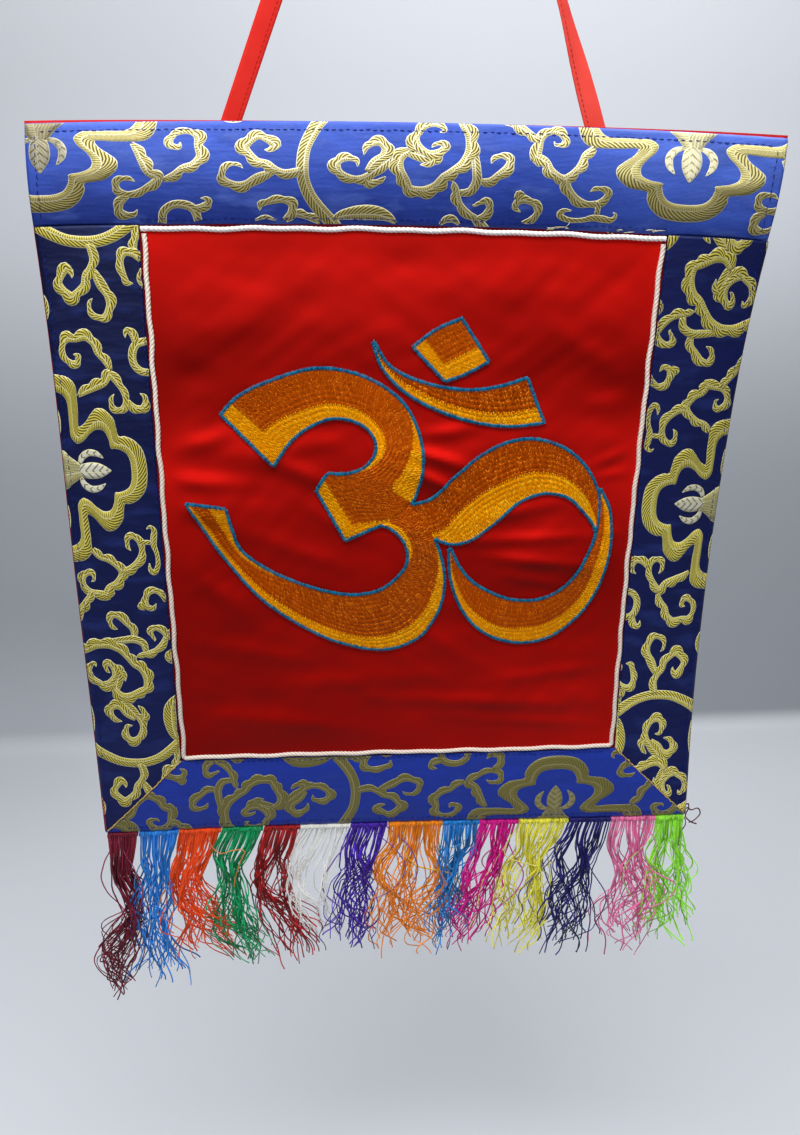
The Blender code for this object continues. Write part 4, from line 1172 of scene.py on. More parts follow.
# %% The sign's strokes
Stroke = namedtuple("Stroke", "ribs outer_gold inner_gold gold_below gold_above")
ARM = Stroke((
    (-95, 242, -69, 216), (-85.5, 251, -60, 228), (-69, 258.5, -50, 235.5), (-45, 264.5, -37, 240),
    (-21, 260.5, -23, 237), (-2, 249, -15.5, 229), (7.5, 233, -16, 221), (10, 215, -22, 214.5),
    (6, 199, -30, 211.8), (3, 195.2, -32, 211.7), (-6, 187, -36.5, 211.5), (-20, 181, -41, 211.5),
    (-32, 176, -47, 203)),
    (0, 0, 0, 0, 0, 0, .12, .30, .33, -.08, .02, .14, .14), (.42, .38, .32, .29, .27, .25, .25, .12, 0, 0, 0, 0, 0),
    0.62, 11.4)
BOWL = Stroke((
    (-10, 202, -32, 176.5), (3, 195, -23, 183.5), (15, 180, -9, 183), (21.5, 164, 0.5, 174),
    (23, 148, 2, 163), (18.5, 132, -4.5, 154), (7, 118.5, -14, 147.7), (-12.5, 113, -28, 145.5),
    (-35, 117.5, -43, 147.8), (-58, 128.5, -60, 153.5), (-79, 144.5, -75, 160.8), (-95, 164, -88, 171.2),
    (-106, 181, -92.5, 183.5), (-115.5, 197, -95, 194)),
    (0, 0, 0, .1, .22, .24, .24, .22, .22, .25, .28, .28, .22, .12),
    (.20, .26, .33, .20, .03, 0, 0, 0, 0, 0, .1, .22, .34, .46), -1, 99)
RIBBON = Stroke((
    (-8, 196, 2, 176), (4, 195.5, 14, 177.5), (15, 198.5, 26, 173.5), (26, 209, 37.5, 176),
    (40, 220.5, 50, 185), (55, 228, 62.5, 196), (70, 230, 76, 201), (86, 225.5, 89.5, 199),
    (98.5, 215.5, 99, 191), (106.5, 202, 105, 184), (109, 188, 106.5, 180)),
    (0,) * 11, (0, .1, .35, .5, .5, .42, .4, .38, .38, .3, .3), -1, 99)
LOOP = Stroke((
    (107.8, 203.5, 107, 202), (113.8, 192, 108, 189), (116, 177, 106.5, 176), (115, 162, 102, 164),
    (110, 145, 96, 153), (100, 130, 87, 145), (86, 119, 77, 141), (70, 115.5, 67, 140.6),
    (55, 118, 57, 142.5), (42, 125.5, 47, 147), (32.5, 137.5, 39, 152), (26.5, 154, 31.5, 160.5),
    (25, 171, 26, 171.2)),
    (.5, .5, .5, .5, .4, .35, .35, .35, .3, .3, .3, .3, .3), (0,) * 13, -1, 99)
CRESCENT = Stroke((
    (-16.5, 277, -15.8, 277.4), (-11.5, 264.5, -9, 267), (0, 253, 2, 260.5), (19, 243.5, 18, 256),
    (39, 238, 35, 254.5), (57, 236.5, 50, 256.5), (74, 238.5, 64, 261)),
    (.3, .5, .5, .4, .35, .33, .33), (0,) * 7, -1, 99)
DOT = Stroke(((4, 275, 21, 258.5), (16, 283.5, 32, 262.5), (29, 289, 43.5, 268.5)), (0, 0, 0), (.35, .35, .35), 0.45,
    99)
SIGN = {"sign_body": {"arm": ARM, "bowl": BOWL, "ribbon": RIBBON, "loop": LOOP},
    "sign_crescent": {"crescent": CRESCENT}, "sign_dot": {"dot": DOT}}
COVERED = {"arm": (), "bowl": (ARM,), "ribbon": (BOWL, ARM, LOOP), "loop": (), "crescent": (), "dot": ()}
ABUTS = {"arm": (BOWL, RIBBON), "bowl": (ARM, RIBBON), "ribbon": (ARM, BOWL, LOOP), "loop": (), "crescent": (),
    "dot": ()}
print("strokes of the sign:", sum(map(len, SIGN.values())))


# %% Ribs and outlines
def rib_ends(stroke, at):
    """The outer and inner ends of the stroke at places between its ribs, in millimetres."""
    table = weights(range(len(stroke.ribs)), at) @ np.array(stroke.ribs)
    return table[:, :2], table[:, 2:]


def even_places(stroke, pitch):
    """Places between the ribs whose ribs stand this far apart along the stroke's middle."""
    fine = np.linspace(0, len(stroke.ribs) - 1, 1200)
    outer, inner = rib_ends(stroke, fine)
    run = run_along((outer + inner) / 2)
    return np.interp(np.arange(pitch / 2, run[-1], pitch), run, fine)


def outline_of(stroke, pitch):
    """Points every pitch round the stroke, with the direction that points out of it."""
    fine = np.linspace(0, len(stroke.ribs) - 1, 400)
    outer, inner = rib_ends(stroke, fine)
    ring = np.concatenate((outer, inner[::-1], outer[:1]))
    run = run_along(ring)
    at = np.arange(0, run[-1], pitch)
    points = spaced(ring, run, at)
    way = spaced(ring, run, at + 0.2) - spaced(ring, run, at - 0.2)
    way /= np.maximum(np.linalg.norm(way, axis=1), 1e-9)[:, None]
    area = np.cross(ring[:-1], ring[1:]).sum()
    out = np.stack((way[:, 1], -way[:, 0]), axis=1) * np.sign(area)
    return points, out


def within(points, ring):
    """Whether each point lies inside a ring of points."""
    hit = np.zeros(len(points), bool)
    for (x0, y0), (x1, y1) in zip(ring, np.roll(ring, -1, axis=0)):
        crosses = (y0 > points[:, 1]) != (y1 > points[:, 1])
        hit ^= crosses & (points[:, 0] < (x1 - x0) * (points[:, 1] - y0) / (y1 - y0 + 1e-12) + x0)
    return hit


def rings(strokes):
    """The outlines of these strokes, as rings of points a millimetre apart."""
    return [outline_of(stroke, 1.0)[0] for stroke in strokes]


def gold_shares(stroke, places):
    """What share of each rib is gold, from its outer end and from its inner one."""
    order = range(len(stroke.ribs))
    rows = (stroke.outer_gold, stroke.inner_gold)
    outer, inner = (np.clip(weights(order, places) @ np.array(row, float), 0, 1) for row in rows)
    whole = (places < stroke.gold_below) | (places > stroke.gold_above)
    return np.where(whole, 1.0, outer), np.where(whole, 1.0, inner)


print("points round the dot:", len(rings([DOT])[0]))

# %% Rows of stitches
ROW_DEPTH, FILL_PITCH, EDGE_PITCH = 2.8, 0.66, 0.80
SHORTEST_SPAN, SHORTEST_STITCH = 0.5, 0.4
ROW_STAGGER = (0.0, 0.40, 0.14, 0.54)  # of a row's depth, on four ribs by turns
GOLD_RAGGED = (0.9, -0.2, 0.5, -0.7)  # millimetres, on four ribs by turns


def cuts_between(first, last, rows, stagger, chance):
    """Where the stitches of one rib end: both ends of the span, and its staggered rows between them."""
    whole = range(0 if stagger > 0.1 else 1, rows)
    between = [first + (last - first) * (j + stagger + chance.uniform(-0.12, 0.12)) / rows for j in whole]
    return [first, *between, last]


def fill_stitches(stroke, covered, chance):
    """Rows of stitches across the stroke: their two ends in millimetres, and 1 where the thread is gold."""
    places = even_places(stroke, FILL_PITCH)
    outer, inner = rib_ends(stroke, places)
    low_gold, high_gold = gold_shares(stroke, places)
    starts, ends, golds = [], [], []
    for k in range(len(places)):
        length = np.linalg.norm(outer[k] - inner[k])
        ragged = GOLD_RAGGED[k % 4] / max(length, 4)
        low = low_gold[k] + ragged if low_gold[k] > 0.03 else 0.0
        high = 1 - high_gold[k] + ragged if high_gold[k] > 0.03 else 1.0
        if low > high:
            low = high = 0.5
        for first, last, gold in ((0.0, low, 1), (low, high, 0), (high, 1.0, 1)):
            span = (last - first) * length
            if span < SHORTEST_SPAN:
                continue
            rows = max(1, round(span / ROW_DEPTH))
            cuts = cuts_between(first, last, rows, ROW_STAGGER[k % 4] * (rows > 1), chance)
            for a, b in zip(cuts, cuts[1:]):
                if (b - a) * length > SHORTEST_STITCH:
                    starts.append(outer[k] + (inner[k] - outer[k]) * a)
                    ends.append(outer[k] + (inner[k] - outer[k]) * b)
                    golds.append(gold)
    starts, ends, golds = np.array(starts), np.array(ends), np.array(golds, float)
    keep = np.ones(len(starts), bool)
    for ring in rings(covered):
        keep &= ~within((starts + ends) / 2, ring)
    return starts[keep], ends[keep], golds[keep]


print("stitches on the dot:", len(fill_stitches(DOT, (), np.random.default_rng(0))[0]))

# %% The padded base
BASE_FRONT, BASE_LAYER, BASE_THICKNESS = -0.0021, 0.00004, 0.0004
BASE_COLUMNS = 16


def on_panel(flat, depth):
    """Points in flat millimetres, hung at this depth in front of the panel's ripples."""
    across, up = flat[:, 0] / 1000, flat[:, 1] / 1000
    return hang(across, up, depth - ripple_height(across, up))


def base_mesh(name, strokes):
    """The padded base under the stitches, in the colours of the thread above it."""
    share = np.linspace(0.01, 0.99, BASE_COLUMNS)
    points, faces, dyes, depths = [], [], [], []
    for key, stroke in strokes.items():
        places = np.linspace(0, len(stroke.ribs) - 1, 5 * len(stroke.ribs))
        outer, inner = rib_ends(stroke, places)
        low, high = gold_shares(stroke, places)
        for k in range(len(outer)):
            if k:
                here, before = len(points), len(points) - BASE_COLUMNS
                between = range(BASE_COLUMNS - 1)
                faces += [(before + j, here + j, here + j + 1, before + j + 1) for j in between]
            points += list(outer[k] + (inner[k] - outer[k]) * share[:, None])
            dyes += list(((share < low[k]) | (share > 1 - high[k])).astype(float))
            depths += [BASE_FRONT + BASE_LAYER * len(COVERED[key])] * BASE_COLUMNS
    flat = np.array(points)
    mesh = make_mesh(name, on_panel(flat, np.array(depths)), faces)
    lay_flat(mesh, flat[:, 0] / 1000, flat[:, 1] / 1000)
    for label, values in (("dye", dyes), ("shade", np.full(len(flat), 0.5)), ("hump", np.ones(len(flat)))):
        keep_value(mesh, label, values)
    return mesh


bases = {node: base_mesh(node + "_base", strokes) for node, strokes in SIGN.items()}
print("base faces:", {node: len(mesh.polygons) for node, mesh in bases.items()})


# %% Thread finishes
def thread_finish(name, tones, gloss):
    """Rayon thread: glossy, with a tone for each dye, a little change from stitch to stitch, painted shade towards
    each stitch's ends and, for two dyes, painted glints.
    """
    tones = [dyed(*tone) for tone in tones]
    thread = Finish(name, Specular_IOR_Level=0.5, Specular_Tint=tones[1])
    shade, hump = thread.read("shade"), thread.read("hump")
    # Painted shade towards each stitch's ends, where it dips into the cloth, and painted glints on some stitches part
    # way along.
    end = (1 - hump) * 0.11
    glint = shade.rise(0.62, 0.85) * hump.near(0.42, 0.34) * 0.95
    tone = thread.mix(end, thread.mix(shade, tones[0], tones[1]), tones[0])
    if len(tones) > 2:
        other = thread.mix(end, thread.mix(shade, tones[2], tones[3]), tones[2])
        other = thread.mix(glint, other, tones[5])
        tone = thread.mix(thread.read("dye"), thread.mix(glint, tone, tones[4]), other)
    patches = thread.place_cloud(90.0, 3.0)
    thread.wear(
        Base_Color=tone,
        Roughness=gloss + shade * 0.12,
        Normal=thread.bump(patches, 0.00006),
    )
    return thread


# Orange, dark and light; gold, dark and light; then the painted glints on orange and on gold.
SIGN_TONES = ((166, 66, 3), (204, 92, 5), (232, 144, 2), (255, 180, 6), (250, 152, 40), (255, 214, 60))
BASE_TONES = ((162, 66, 3), (170, 72, 4), (208, 128, 4), (214, 134, 6), (158, 66, 4), (214, 134, 6))
SIGN_THREAD = thread_finish("sign_thread", SIGN_TONES, 0.36)
EDGE_THREAD = thread_finish("edge_thread", ((8, 82, 122), (26, 128, 166)), 0.42)
BASE_CLOTH = thread_finish("sign_base", BASE_TONES, 0.6)
print("threads:", [finish.material.name for finish in (SIGN_THREAD, EDGE_THREAD, BASE_CLOTH)])

# %% The sign
FILL_DEPTH, EDGE_DEPTH = -0.00225, -0.0022
FILL = {"Arch": 0.00013, "Radius": 0.00048, "Points": 4, "Sides": 3, "Seed": 3, "Material": SIGN_THREAD.material}
EDGE = {"Arch": 0.0005, "Radius": 0.00048, "Points": 4, "Sides": 4, "Seed": 5, "Material": EDGE_THREAD.material}
EDGE_INSIDE, EDGE_OUTSIDE = 1.0, 0.95  # millimetres of a border stitch on either side of the outline
sign_pieces = {}
for node, strokes in SIGN.items():
    chance = np.random.default_rng(11)
    fills = [fill_stitches(stroke, COVERED[name], chance) for name, stroke in strokes.items()]
    starts, ends, golds = (np.concatenate(column) for column in zip(*fills))
    lines = line_mesh(node + "_fill", on_panel(starts, FILL_DEPTH), on_panel(ends, FILL_DEPTH), dye=golds)
    fill = grow(node + "_fill", lines, STITCHES, **FILL)
    lows, highs = [], []
    for name, stroke in strokes.items():
        points, out = outline_of(stroke, EDGE_PITCH)
        keep = np.ones(len(points), bool)
        for ring in rings(ABUTS[name]):
            keep &= ~within(points + out * 0.4, ring)
        ragged = chance.uniform(-0.15, 0.15, (len(points), 2))
        lows.append((points - out * (EDGE_INSIDE + ragged[:, :1]))[keep])
        highs.append((points + out * (EDGE_OUTSIDE + ragged[:, 1:]))[keep])
    low, high = (on_panel(np.concatenate(ends), EDGE_DEPTH) for ends in (lows, highs))
    border = grow(node + "_edge", line_mesh(node + "_edge", low, high), STITCHES, **EDGE)
    base = thicken(add(node + "_base", bases[node], BASE_CLOTH), BASE_THICKNESS)
    sign_pieces[node] = [fill, border, base]
    print(node, "stitches:", len(starts), "+", sum(map(len, lows)))

# %% [markdown]
# ## The cord in the seams
# A three-ply white cord is laid in the seams to hide them: one run under the top band, and one down, across and up
# round the panel. The section of a three-ply cord is a trefoil, and its plies appear when that turns steadily along
# the line. The grooves between the plies are painted darker, a painted shade that is faint on the run under the top
# band and deeper on the cord round the panel, where it is also pink: stitches through that cord let the red show.

# %% A plied cord
CORD_PLY_TURN = 0.0068  # one whole turn of the plies
CORD_SIDES = 18
PLY_RELIEF = 0.08


def cord_tree():
    """Sweeps a trefoil section, which turns as it goes, along a line."""
    tree = Tree("plied_cord", Radius=float, Pitch=float, Material=bpy.types.Material)
    curves = tree.node("GeometryNodeMeshToCurve", values=[tree.lines])
    along = tree.node("GeometryNodeSplineParameter", out=1)
    turn = along / tree.inputs["Pitch"] * (2 * math.pi)
    curves = tree.node("GeometryNodeSetCurveTilt", values={"Curve": curves, "Tilt": turn})
    curves = tree.keep(curves, "along", along)
    t = tree.share()
    lobes = (t * (6 * math.pi) + math.pi / 2).sine()
    profile = tree.circle(CORD_SIDES, 1.0)
    place = tree.node("GeometryNodeInputPosition")
    size = lobes * PLY_RELIEF + (1 - PLY_RELIEF)
    scaled = tree.node("ShaderNodeVectorMath", {"operation": "SCALE"}, {0: place, 3: size})
    profile = tree.node("GeometryNodeSetPosition", values={"Geometry": profile, "Position": scaled})
    profile = tree.node("GeometryNodeStoreNamedAttribute", {"data_type": "FLOAT", "domain": "POINT"},
                        {"Geometry": profile, "Name": "ply", "Value": lobes * 0.5 + 0.5})
    tree.sweep(curves, profile, tree.inputs["Radius"])
    return tree


CORD_TREE = cord_tree()
print("nodes of the cord's tree:", len(CORD_TREE.tree.nodes))


# %% Cord finish
def cord_finish(name, tone, groove):
    cord = Finish(name, Roughness=0.75, Specular_IOR_Level=0.3)
    along, ply = cord.read("along"), cord.read("ply")
    fibres = (along * 4200 + ply * 5.0).sine() * 0.5 + 0.5
    dirt = cord.place_cloud(60.0, 3.0)
    # Painted shade: the grooves between the plies take the darker groove colour, and random dirt patches drift towards
    # it.
    cord.wear(
        Base_Color=cord.mix(1 - ply.rise(0.0, 0.5), cord.mix(dirt * 0.3, tone, groove), groove),
        Normal=cord.bump(fibres * 0.4 + dirt * 0.6, 0.00012),
    )
    return cord


BRIGHT_CORD = cord_finish("cord_bright", dyed(255, 253, 250), dyed(246, 236, 230))
PINKISH_CORD = cord_finish("cord_pinkish", dyed(255, 248, 236), dyed(226, 197, 180))
print("cord finishes:", BRIGHT_CORD.material.name, PINKISH_CORD.material.name)

# %% Cords
CORD_BEHIND = -(LAYER_GAP + CORD_RADIUS)
CORD_STEP, CORD_SECTION, CORD_WANDER = 0.0006, 0.00130, 0.00022
SEAM, CORD_CORNER, CORD_SHORT = BODY_WIDTH / 2 - STRIP_WIDTH, 0.0020, 0.0006


def cord_piece(name, corners, finish):
    """A cord along this flat route, a little off it as hand-laid cord is."""
    corners = np.array(corners)
    run = run_along(corners)
    flat = spaced(corners, run, np.linspace(0, run[-1], round(run[-1] / CORD_STEP)))
    run = np.arange(len(flat)) * CORD_STEP
    off = np.stack((np.sin(run * 290) + np.sin(run * 173), np.cos(run * 241) + np.sin(run * 131)), axis=1)
    flat += CORD_WANDER * off
    points = hang(flat[:, 0], flat[:, 1], CORD_BEHIND)
    mesh = make_mesh(name, points, edges=[(k, k + 1) for k in range(len(points) - 1)])
    return grow(name, mesh, CORD_TREE, Radius=CORD_SECTION, Pitch=CORD_PLY_TURN, Material=finish.material)


top_of_round = BODY_HEIGHT - CORD_RADIUS - CORD_SHORT
corners = [(-SEAM, top_of_round)]
for side, turn in ((-1, math.pi), (1, 1.5 * math.pi)):
    for step in range(4):
        angle = turn + step * math.pi / 6
        corners.append((side * (SEAM - CORD_CORNER) + CORD_CORNER * math.cos(angle),
                        STRIP_WIDTH + CORD_CORNER + CORD_CORNER * math.sin(angle)))
corners.append((SEAM, top_of_round))
end = SEAM + CORD_SLOT / 2 - CORD_SHORT
cords = {
    "cord_top": cord_piece("top_cord", [(-end, BODY_HEIGHT), (end, BODY_HEIGHT)], BRIGHT_CORD),
    "cord_surround": cord_piece("round_cord", corners, PINKISH_CORD),
}
print("cord faces:", {name: len(piece.data.polygons) for name, piece in cords.items()})

# %% [markdown]
# ## Sewing lines
# The brocade is sewn down with navy thread a few millimetres inside its edges and beside the cord. A running
# stitch is a short length of thread on top of the cloth, then a gap. Pale gold thread covers the mitres at
# the lower corners, and a few cut threads fray under the top band.

# %% Sewing threads
NAVY_THREAD = thread_finish("navy_thread", ((20, 30, 104), (34, 48, 146)), 0.5)
GOLD_THREAD = thread_finish("gold_thread", ((196, 160, 84), (226, 196, 122)), 0.5)
WHITE_THREAD = thread_finish("frayed_thread", ((196, 182, 130), (236, 228, 200)), 0.6)
RED_THREAD = thread_finish("red_thread", ((150, 24, 24), (196, 44, 36)), 0.5)
print("materials so far:", len(bpy.data.materials))

# %% Seams, as lines on the flat cloth
SEAMS = {
    "top": (((-.1725, .3722), (.1725, .3722)), ((-.1733, .3335), (-.1733, .3715)),
            ((.1733, .3335), (.1733, .3715)), ((-.13, .3334), (.13, .3334))),
    "left": (((-.1718, .006), (-.1718, .327)), ((-.13, .053), (-.13, .327))),
    "right": (((.1718, .006), (.1718, .327)), ((.13, .053), (.13, .327))),
    "bottom": (((-.164, .0032), (.164, .0032)), ((-.123, .0445), (.123, .0445))),
}
MITRES = {
    "left": ((-.1742, .0012), (-.1292, .0462)),
    "right": ((.1742, .0012), (.1292, .0462)),
}
MENDED = ((-.1742, .0015), (-.1742, .026))  # the lower left corner, mended with red thread
print("lines to sew:", sum(map(len, SEAMS.values())) + len(MITRES) + 1)

# %% Sewing
SEW_PROUD = 0.00042
RUNNING = {"radius": 0.00019, "pitch": 0.0033, "length": 0.0021}
COVERING = {"radius": 0.00038, "pitch": 0.0016, "length": 0.0019}
MENDING = {"radius": 0.0003, "pitch": 0.0022, "length": 0.0018}
OFF_LINE, UNEVEN = 0.00012, 0.00008  # metres by which a stitch strays, and its far end once more


def on_strip(strip, flat, proud):
    """Flat points hung this far in front of the strip."""
    across, up = flat[:, 0], flat[:, 1]
    return hang(flared(strip, across, up), up, strip_behind(strip, across, up) - proud)


def running_stitches(lines, pitch, length, chance):
    """The two ends of every stitch along these flat lines, a little off the line."""
    starts, ends = [], []
    for first, last in (np.array(line) for line in lines):
        reach = np.linalg.norm(last - first)
        way = (last - first) / reach
        at = np.arange(pitch / 2, reach - length, pitch)[:, None]
        off = chance.normal(0, OFF_LINE, (len(at), 2))
        starts.append(first + way * at + off)
        ends.append(first + way * (at + length) + off + chance.normal(0, UNEVEN, (len(at), 2)))
    return np.concatenate(starts), np.concatenate(ends)


def sew(name, strip, lines, finish, radius, pitch, length):
    """Running stitches of one thread along these lines of a strip."""
    chance = np.random.default_rng(len(name) * 7)
    starts, ends = running_stitches(lines, pitch, length, chance)
    mesh = line_mesh(name, on_strip(strip, starts, 0.0), on_strip(strip, ends, 0.0))
    return grow(name, mesh, STITCHES, Arch=SEW_PROUD, Radius=radius,
                Points=5, Sides=5, Seed=2, Material=finish.material)


by_name = {strip.name: strip for strip in STRIPS}
sewing = {}
for name, lines in SEAMS.items():
    sewing[name] = [sew(name + "_sewing", by_name[name], lines, NAVY_THREAD, **RUNNING)]
for name, mitre in MITRES.items():
    sewing[name].append(sew(name + "_mitre", by_name[name], (mitre,), GOLD_THREAD, **COVERING))
sewing["left"].append(sew("corner_sewing", by_name["left"], (MENDED,), RED_THREAD, **MENDING))
print("sewing:", {name: len(pieces) for name, pieces in sewing.items()})

# %% Frayed threads
FRAYED_PLACES = ((0.077, 0.3318), (0.0735, 0.3316), (0.122, 0.3318), (0.105, 0.3316))
FRAYED_EACH = 6


def frayed(places, count, chance):
    """Short cut threads that stand up out of the cloth round these flat places."""
    off = chance.normal(0, (0.0022, 0.0005), (len(places) * count, 2))
    starts = np.repeat(np.array(places), count, axis=0) + off
    return starts, starts + chance.normal(0, (0.0022, 0.0008), starts.shape)


starts, ends = frayed(FRAYED_PLACES, FRAYED_EACH, np.random.default_rng(8))
mesh = line_mesh("fray", on_strip(by_name["top"], starts, 0.0001), on_strip(by_name["top"], ends, 0.0005))
fray = grow("frayed_threads", mesh, STITCHES, Arch=0.0009, Radius=0.00016,
            Points=5, Sides=4, Seed=4, Material=WHITE_THREAD.material)
sewing["top"].append(fray)
print("frayed threads:", len(starts))

# %% [markdown]
# ## The hanging tape
# The loop is red tape, folded lengthwise and stitched along one edge, which leaves small puckers there. Both
# ends are sewn down behind the lining. From there each leg climbs straight to the hook, turning edge on as it
# goes, and the tape passes over the hook.

# %% Legs of the tape
TAPE_WIDTH, TAPE_THICKNESS, TAPE_GAP, TAPE_TUCK = 0.0094, 0.0018, 0.0009, 0.026
TAPE_ROOTS = {-1: -0.0840, 1: 0.0915}
HOOK_RADIUS = 0.003
TUCK_ROWS, CLIMB_ROWS, HOOK_ROWS = 4, 41, 14


def unit(v):
    """Arrows of length one."""
    return v / np.linalg.norm(v, axis=-1, keepdims=True)


def tape_leg(side):
    """The middle line of a leg and the way its width points, from its sewn-down end to the hook."""
    top = BODY_HEIGHT + BAND_HEIGHT
    behind = LINING_THICKNESS + TAPE_GAP + TAPE_THICKNESS / 2
    bend = HOOK_RADIUS + TAPE_THICKNESS / 2
    hook = np.array((0.0, 0.0, -HOOK_RADIUS))
    root = hang(TAPE_ROOTS[side], top, behind)
    reach = np.hypot(root[0], root[2] - hook[2])
    tilt = math.atan2(abs(root[0]), abs(root[2] - hook[2])) - math.asin(bend / reach)
    climb = np.array((-side * math.sin(tilt), 0.0, math.cos(tilt)))
    outwards = np.array((side * math.cos(tilt), 0.0, math.sin(tilt)))
    meets = hook + outwards * bend
    rows = []
    for k in range(TUCK_ROWS):
        down = TAPE_TUCK * (1 - k / TUCK_ROWS)
        flat = TAPE_ROOTS[side] + side * math.sin(tilt) * down, top - math.cos(tilt) * down
        half = np.array((math.cos(tilt), side * math.sin(tilt))) * TAPE_WIDTH / 2
        left, right = (hang(flat[0] + way * half[0], flat[1] + way * half[1], behind) for way in (-1, 1))
        rows.append(((left + right) / 2, unit(right - left) * -side))
    flat_way = rows[-1][1]
    for t in np.linspace(0, 1, CLIMB_ROWS):
        turn = ease((t - 0.25) / 0.7) if side < 0 else 0.55 * ease(t / 0.26) + 0.45 * ease((t - 0.3) / 0.65)
        angle = turn * math.pi / 2
        way = math.cos(angle) * flat_way + math.sin(angle) * np.array((0.0, -1.0, 0.0))
        rows.append((root + (meets - root) * t, unit(way - climb * (way @ climb))))
    return rows, tilt, bend, hook


left_leg, tilt_left, bend, hook = tape_leg(-1)
right_leg, tilt_right, _, _ = tape_leg(1)
turns = np.linspace(math.pi - tilt_left, tilt_right, HOOK_ROWS)[1:-1]
over = [(hook + bend * np.array((math.cos(a), 0.0, math.sin(a))), np.array((0.0, -1.0, 0.0))) for a in turns]
TAPE_ROWS = left_leg + over + right_leg[::-1]
print("rows along the tape:", len(TAPE_ROWS))

# %% Shape of the tape
TAPE_STEP, TAPE_SIDES, PUCKER_PITCH = 0.0016, 20, 0.0052


def tape_mesh():
    """Sweeps the section along the rows, with a groove under the stitches and puckers beside them."""
    middle, way = (np.array(column) for column in zip(*TAPE_ROWS))
    run = run_along(middle)
    at = np.linspace(0, run[-1], round(run[-1] / TAPE_STEP))
    middle, way = spaced(middle, run, at), spaced(way, run, at)
    along = unit(np.gradient(middle, axis=0))
    way = unit(way - along * (way * along).sum(axis=1)[:, None])
    face = np.cross(along, way)
    angle = np.linspace(0, 2 * math.pi, TAPE_SIDES, endpoint=False)
    across = np.sign(np.cos(angle)) * np.abs(np.cos(angle)) ** 0.6
    deep = np.sign(np.sin(angle)) * np.abs(np.sin(angle)) ** 0.9
    groove = 1 - 0.55 * np.exp(-((across - 0.62) / 0.12) ** 2) - 0.25 * np.exp(-((across + 0.05) / 0.2) ** 2)
    pucker = 0.10 * np.sin(at * 2 * math.pi / PUCKER_PITCH)[:, None] * np.exp(-((across - 0.85) / 0.3) ** 2)
    wide = across * TAPE_WIDTH / 2
    thick = deep * groove * (1 + pucker) * TAPE_THICKNESS / 2
    points = middle[:, None] + way[:, None] * wide[None, :, None] + face[:, None] * thick[..., None]
    corners = np.arange(len(at) * TAPE_SIDES).reshape(len(at), TAPE_SIDES)
    after = np.roll(corners, -1, axis=1)
    quads = np.stack((corners[:-1], after[:-1], after[1:], corners[1:]), axis=-1).reshape(-1, 4)
    faces = quads.tolist() + [corners[0, ::-1].tolist(), corners[-1].tolist()]
    mesh = make_mesh("sewn_tape", points.reshape(-1, 3), faces)
    shape = bmesh.new()
    shape.from_mesh(mesh)
    bmesh.ops.recalc_face_normals(shape, faces=shape.faces)
    shape.to_mesh(mesh)
    shape.free()
    lay_flat(mesh, np.tile(wide, len(at)), np.repeat(at, TAPE_SIDES))
    return mesh, run[-1]


tape_shape, TAPE_LENGTH = tape_mesh()
print("tape length:", round(TAPE_LENGTH, 3))

# %% Tape finish
TAPE_HALF = TAPE_LENGTH * 500  # in the millimetres of a finish's flat places
SEAM_PLACE, SEAM_PITCH = 2.9, 2.4


def tape_finish():
    red = Finish("tape_red", Roughness=0.6, Specular_IOR_Level=0.3, Specular_Tint=(1.0, 0.4, 0.3, 1.0))
    across, along = red.flat()
    threads = weave(across, along, 0.5)
    patches = red.cloud(across, along, 0.08)
    tone = red.mix(patches, dyed(216, 30, 25), dyed(232, 50, 42))
    # Painted light: the second half of the tape, the leg on the right, is lighter, in random patches.
    tone = red.mix((along - TAPE_HALF).rise(0.0, 30.0) * (patches * 0.5 + 0.3), tone, dyed(255, 96, 84))
    near_seam = (across - SEAM_PLACE).near(0.0, 0.35)
    seam = near_seam * (along * (2 * math.pi / SEAM_PITCH)).sine().rise(-0.6, -0.2)
    red.wear(
        Base_Color=red.mix(seam * 0.7, red.mix(threads * 0.2, tone, dyed(150, 14, 14)), dyed(168, 18, 18)),
        Normal=red.bump(threads * 0.4 - seam, 0.00015),
    )
    return red


tape = add("sewn_tape", tape_shape, tape_finish())
print("tape faces:", len(tape.data.polygons))

# %% [markdown]
# ## The fringe
# Fourteen bunches of embroidery yarn hang from the hem, each of one dye. A strand is drawn into a lock with
# its neighbours and comes free again towards its tip, where it is crimped and tangled, and a few end in a
# small knot. The script makes each strand's middle line, and a tree gives it its crimp and its thickness. The
# heading is the turn of yarn that wraps the hem's edge.

